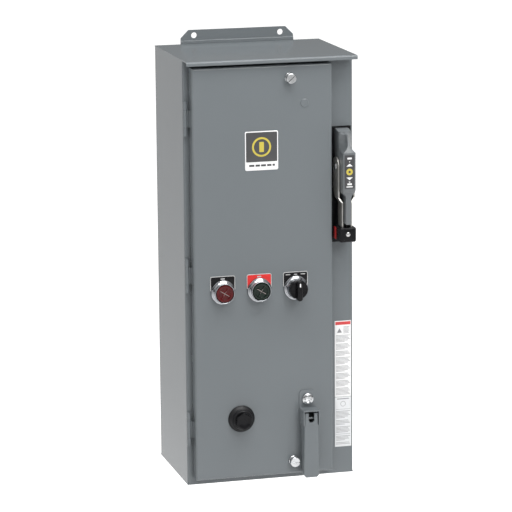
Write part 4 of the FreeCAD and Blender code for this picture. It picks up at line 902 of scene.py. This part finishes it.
@builder("Door screws")
def door_screws(sizes):
    """Build the two slotted door screws with their collars"""
    slot = sizes.slot / MM
    door_face = span("door_panel")[0][1]
    for name, node, body, angle in (("screw_upper", "door_screw_top", "screw_top", 42.0),
                                    ("screw_lower", "door_screw_bottom", "screw_bottom", -6.0)):
        low, high = span(node)
        place = middle(node) * np.array([1, 0, 1]) + np.array([0, door_face, 0])
        radius, face = (high[0] - low[0]) / 2, door_face - low[1]
        edge = [(0, door_face - high[1]), (3.6, door_face - high[1]), (3.8, -2.0), (3.8, 0.08),
                (radius, 0.08), (radius, 1.6), (radius - 0.5, 2.4), (radius - 1.6, 2.9),
                (radius - 1.7, 5.0), (radius - 0.3, 5.8), (radius, 6.8), (radius, face - 1.3),
                (radius - 0.35, face - 0.5), (radius - 1.2, face)]
        edge = rounded(edge, 0.5)
        rings = np.linspace(radius - 1.5, 0.1, 34)
        profile = np.vstack([edge, np.column_stack([rings, face + 0 * rings])])
        part = turned(profile, 144, slotted(slot, 2.2, angle, face))
        add_piece(name, [(placed(part, place), "plated_steel")], body, "plated_steel", [node],
                  sharp=30.0)


@builder("Latch screw")
def latch_screw(sizes):
    """Build the large cross-recess screw of the latch plate"""
    door_face = span("door_panel")[0][1]
    low, high = span("latch_screw")
    place = middle("latch_screw") * np.array([1, 0, 1]) + np.array([0, door_face, 0])
    radius, face = (high[0] - low[0]) / 2, door_face - low[1]
    back = door_face - high[1]
    edge = rounded([(0, back), (2.9, back), (2.9, 2.0), (radius, 2.0), (radius, 3.2),
                    (radius - 0.6, face - 1.8), (radius - 3.0, face - 0.5),
                    (radius - 5.6, face - 0.05)], 0.7)
    rings = np.linspace(radius - 5.8, 0.1, 40)
    profile = np.vstack([edge, np.column_stack([rings, face - 0.05 + 0 * rings])])
    part = turned(profile, 144, crossed(2.6, 5.2, 2.4, face))
    add_piece("latch_plate_screw", [(placed(part, place), "plated_steel")],
              "door", "plated_steel", ["latch_screw"], sharp=30.0)


# ---------------------------------------------------------------- disconnect handle

# Millimetres out of the backing: where the nose's scoops start and its hollow ends, the hollow's
# half width, half the neck's depth and how far its corners draw in.
NOSE_BASE, HOLLOW_HALF, NECK_DEPTH, NECK_DRAW = 24.4, 6.0, 22.8, 4.7


def nose_front(up):
    """How far the nose stands out of the backing at each height above the pivot."""
    heights = np.array([-42.0, -36.0, 27.0, 40.0, 55.0, 62.0])
    out = np.array([45.4, 49.9, 49.9, 46.2, 39.4, 10.4])
    return np.interp(up, heights, out)


@builder("Handle nose")
def handle_nose(sizes):
    """Build the cast nose, scooped on both cheeks down to a thin ridge, and its slim neck"""
    ridge = sizes.ridge / MM
    low, high = span("handle_housing")
    pivot = middle("handle_shaft")
    origin = np.array([(low[0] + high[0]) / 2, span("handle_backing")[0][1], pivot[2]])
    half = (high[0] - low[0]) / 2
    up = np.concatenate([np.linspace(-42, -36, 5)[:-1], np.linspace(-36, 26, 16)[:-1],
                         np.linspace(26, 55, 44)[:-1], np.linspace(55, 62, 12)])
    front = nose_front(up)
    along = 1 - (1 - np.linspace(0, 1, 40)) ** 1.6
    out = front[:, None] * along[None, :]
    rise = np.clip((up - 27.0) / 29.0, 0, 1)
    front_half = ridge + (half - ridge) * (1 - rise) ** 4
    depth = np.clip((out - NOSE_BASE) / (front[:, None] - NOSE_BASE + 1e-6), 0, 1)
    scoop = 1 - np.sin(depth * math.pi / 2)
    scoop = np.where(front[:, None] > 25.0, scoop, 1.0)
    width = front_half[:, None] + (half - front_half[:, None]) * scoop
    edge = np.minimum(1.5, front_half)[:, None]
    near = np.clip(edge - (front[:, None] - out), 0, edge)
    width = width - (edge - np.sqrt(np.maximum(edge ** 2 - near ** 2, 0))) * 0.98
    levels = np.broadcast_to(up[:, None], out.shape)
    right = np.stack([width, levels, out], axis=-1)
    left = right[:, ::-1] * np.array([-1, 1, 1])
    hollow = np.where((up > -36.01) & (up < 42.0), NOSE_BASE, 0.0)
    side = np.full(len(up), HOLLOW_HALF)
    corners = ((-side, 0 * up), (-side, hollow), (side, hollow), (side, 0 * up))
    notch = np.stack([np.stack([x, up, y], axis=-1) for x, y in corners], axis=1)
    loops = np.concatenate([left, notch, right], axis=1)
    nose = shell(loops)
    below = np.concatenate([np.linspace(-41.5, -51, 16), [-70.0, -94.0, -95.0, -95.0]])
    fall = np.clip((below + 41.5) / -9.5, 0, 1)
    neck_half = 5.0 + (half - 5.3) * (1 - np.sin(fall * math.pi / 2)) ** 1.3
    neck_half[-2:] = 4.0, 0.1
    across, out = round_loop(2.0, 2.0, 0.3, steps=6).T
    out = NECK_DEPTH + np.sign(out) * (NECK_DEPTH - (1 - np.abs(out)) * NECK_DRAW)
    size = (len(below), len(across))
    neck_grid = np.stack([across * neck_half[:, None], np.broadcast_to(below[:, None], size),
                          np.broadcast_to(out, size)], axis=-1)
    neck = shell(neck_grid[::-1])
    parts = [(placed(nose, origin), "cast_paint"), (placed(neck, origin), "cast_paint")]
    add_piece("cast_nose", parts, "enclosure", "cast_paint", ["handle_housing"], sharp=32.0)


@builder("Handle label")
def handle_label(sizes):
    """Build the handle's dark label with an arrow up, a yellow spot and an arrow down"""
    low, high = span("handle_label")
    width, height, thick = high[0] - low[0], high[2] - low[2], high[1] - low[1]
    origin = ((low[0] + high[0]) / 2, high[1], (low[2] + high[2]) / 2)
    face = thick + 0.03
    arrow = np.array([(-5.6, 0.0), (5.6, 0.0), (0.0, 4.6)])
    parts = [(tile(width, height, 1.2, 0.0, thick, 0.12), "handle_print")]
    parts.append((shape(arrow + [0, 9.2], 0.1, face), "label_white"))
    parts.append((shape(-arrow - [0, 9.2], 0.1, face), "label_white"))
    parts.append((tile(11.2, 11.2, 5.5, 0.1, face, 0.03), "badge_mark"))
    parts.append((tile(4.0, 4.0, 1.9, 0.1, face + 0.03, 0.03), "handle_print"))
    for level, wide, tall in ((22.6, 7.6, 3.0), (17.0, 1.6, 1.6), (-17.0, 2.4, 1.6),
                              (-20.8, 7.6, 3.0), (-25.2, 11.2, 1.6)):
        parts.append((tile(wide, tall, 0.5, 0.1, face, 0.03, at=(0, level)), "label_white"))
    add_piece("nose_label", all_placed(parts, origin),
              "enclosure", "handle_print", ["handle_label"])


@builder("Handle grip")
def handle_grip(sizes):
    """Build the moulded grip, its red slips, the face rivet and the pivot's riveted shaft"""
    edge = sizes.grip_edge / MM
    low, high = span("handle_grip")
    width, height = high[0] - low[0], high[2] - low[2]
    deep = high[1] - low[1]
    origin = ((low[0] + high[0]) / 2, high[1], (low[2] + high[2]) / 2)
    body = tile(width, height, 3.6, 0.0, deep, edge, back_edge=1.2)
    panel = tile(width - 9.0, height - 7.0, 2.0, deep - 1.0, deep + 0.25, 0.3)
    add_piece("moulded_grip", [(placed(body, origin), "black_plastic"),
                               (placed(panel, origin), "black_plastic")],
              "handle", "black_plastic", ["handle_grip"])
    rivet_low, rivet_high = span("handle_grip_rivet")
    rivet_at = middle("handle_grip_rivet") * np.array([1, 0, 1]) + np.array([0, low[1], 0])
    radius = (rivet_high[0] - rivet_low[0]) / 2
    profile = [(0, -4.0), (2.3, -4.0), (2.3, 0.2), (radius, 0.2), (radius * 0.96, 0.8),
               (radius * 0.7, 1.5), (radius * 0.3, 1.75), (0.1, 1.8), (0, 1.8)]
    add_piece("grip_rivet", [(placed(turned(rounded(profile, 0.6), 64), rivet_at), "rivet_aluminium")],
              "handle", "rivet_aluminium", ["handle_grip_rivet"])
    grip_slips()
    pivot_shaft()


def grip_slips():
    """Two red slips let into the grip's sides."""
    low, high = span("handle_grip_flags")
    deep, height = high[1] - low[1], high[2] - low[2]
    parts = []
    for way, side in ((LEFTWARD, low[0]), (RIGHTWARD, high[0])):
        origin = (side, (low[1] + high[1]) / 2, (low[2] + high[2]) / 2)
        parts.append((placed(tile(deep, height, 1.5, -1.6, 0.0, 0.3), origin, way), "flag_red"))
    add_piece("grip_slips", parts, "handle", "flag_red", ["handle_grip_flags"])


def pivot_shaft():
    """Plain shaft with a domed rivet head at each end."""
    low, high = span("handle_shaft")
    centre = middle("handle_shaft")
    half = (high[0] - low[0]) / 2
    profile = [(0, -half), (2.6, -half + 0.2), (4.6, -half + 1.0), (4.9, -half + 1.8),
               (3.0, -half + 1.8), (3.0, half - 1.8), (4.9, half - 1.8), (4.6, half - 1.0),
               (2.6, half - 0.2), (0, half)]
    part = placed(turned(rounded(profile, 0.5), 64), centre, RIGHTWARD)
    add_piece("pivot_shaft", [(part, "plated_steel")], "handle", "plated_steel", ["handle_shaft"])


# ---------------------------------------------------------------- flange labels

def print_rows(width, top, bottom, pitch, tall, gaps, left):
    """Grey bars in rows from top to bottom; every row that `gaps` names is skipped, and the rows
    before a gap end short. Returns (centre across, centre up, width, height) for each bar."""
    rows = []
    level, number = top, 0
    while level > bottom:
        if number not in gaps:
            short = 0.62 if number + 1 in gaps else 1.0 - 0.07 * (number * 5 % 3)
            wide = width * short
            rows.append((left + wide / 2, level, wide, tall))
        level -= pitch
        number += 1
    return rows


@builder("Flange labels")
def flange_labels(sizes):
    """Build the two flange labels: a band, a picture's ring and rows of grey bars"""
    upper_label()
    lower_label()


def label_ground(node):
    """A label's width, height and thickness, and the middle of its back."""
    low, high = span(node)
    size = high - low
    origin = ((low[0] + high[0]) / 2, high[1], (low[2] + high[2]) / 2)
    return size[0], size[2], size[1], origin


def upper_label():
    width, height, thick, origin = label_ground("flange_label_upper")
    face = thick + 0.03
    top = height / 2
    parts = [(tile(width, height, 0.8, 0.0, thick, 0.08), "label_white"),
             (tile(width - 2.0, 5.6, 0.4, 0.1, face, 0.03, at=(0, top - 4.2)), "label_band")]
    parts.append((shape([(-10.6, top - 20.6), (-1.8, top - 20.6), (-6.2, top - 12.8)], 0.1, face),
                  "label_ink"))
    bars = print_rows(10.6, top - 11.0, top - 22.0, 2.1, 0.8, (), 0.8)
    bars += print_rows(width - 4.0, top - 25.5, -top + 3.0, 2.15, 0.8,
                       (6, 12, 17, 24, 30, 36, 42), -width / 2 + 2.0)
    for across, up, wide, tall in bars:
        parts.append((tile(wide, tall, 0.2, 0.1, face, 0.02, at=(across, up)), "label_ink"))
    add_piece("label_upper", all_placed(parts, origin),
              "enclosure", "label_white", ["flange_label_upper"])


def lower_label():
    width, height, thick, origin = label_ground("flange_label_lower")
    face = thick + 0.03
    top = height / 2
    ring = turned([(3.9, 0.1), (4.6, 0.1), (4.6, face), (3.9, face)], 48, ring=True)
    ring = (ring[0] + np.array([0, top - 12.0, 0]), ring[1])
    parts = [(tile(width, height, 0.8, 0.0, thick, 0.08), "label_grey"), (ring, "label_ink")]
    bars = [(0, top - 3.2, width - 8.0, 1.5), (0, top - 21.5, width - 3.0, 0.5),
            (0, -top + 22.0, width - 3.0, 0.5)]
    bars += print_rows(width - 4.0, top - 25.0, -top + 24.5, 2.3, 0.8, (6, 11), -width / 2 + 2.0)
    bars += print_rows(width - 4.0, -top + 18.5, -top + 3.0, 2.3, 0.8, (4,), -width / 2 + 2.0)
    for across, up, wide, tall in bars:
        parts.append((tile(wide, tall, 0.2, 0.1, face, 0.02, at=(across, up)), "label_ink"))
    add_piece("label_lower", all_placed(parts, origin),
              "enclosure", "label_grey", ["flange_label_lower"])


# ---------------------------------------------------------------- panel and running

class STARTER_PT_pieces(bpy.types.Panel):
    """Lists the pieces of the starter"""
    bl_idname = "STARTER_PT_pieces"
    bl_label = "Motor starter"
    bl_space_type = "VIEW_3D"
    bl_region_type = "UI"
    bl_category = "Starter"

    def draw(self, context):
        for operator in OPERATORS:
            self.layout.operator(operator.bl_idname)


CLASSES = (StarterColours, StarterSizes, *OPERATORS, STARTER_PT_pieces)


def register():
    for each in CLASSES:
        bpy.utils.register_class(each)
    bpy.types.Scene.starter_colours = PointerProperty(type=StarterColours)
    bpy.types.Scene.starter_sizes = PointerProperty(type=StarterSizes)


def unregister():
    del bpy.types.Scene.starter_sizes
    del bpy.types.Scene.starter_colours
    for each in reversed(CLASSES):
        bpy.utils.unregister_class(each)


def main():
    register()
    for operator in OPERATORS:
        group, name = operator.bl_idname.split(".")
        getattr(getattr(bpy.ops, group), name)()


if __name__ == "__main__":
    main()
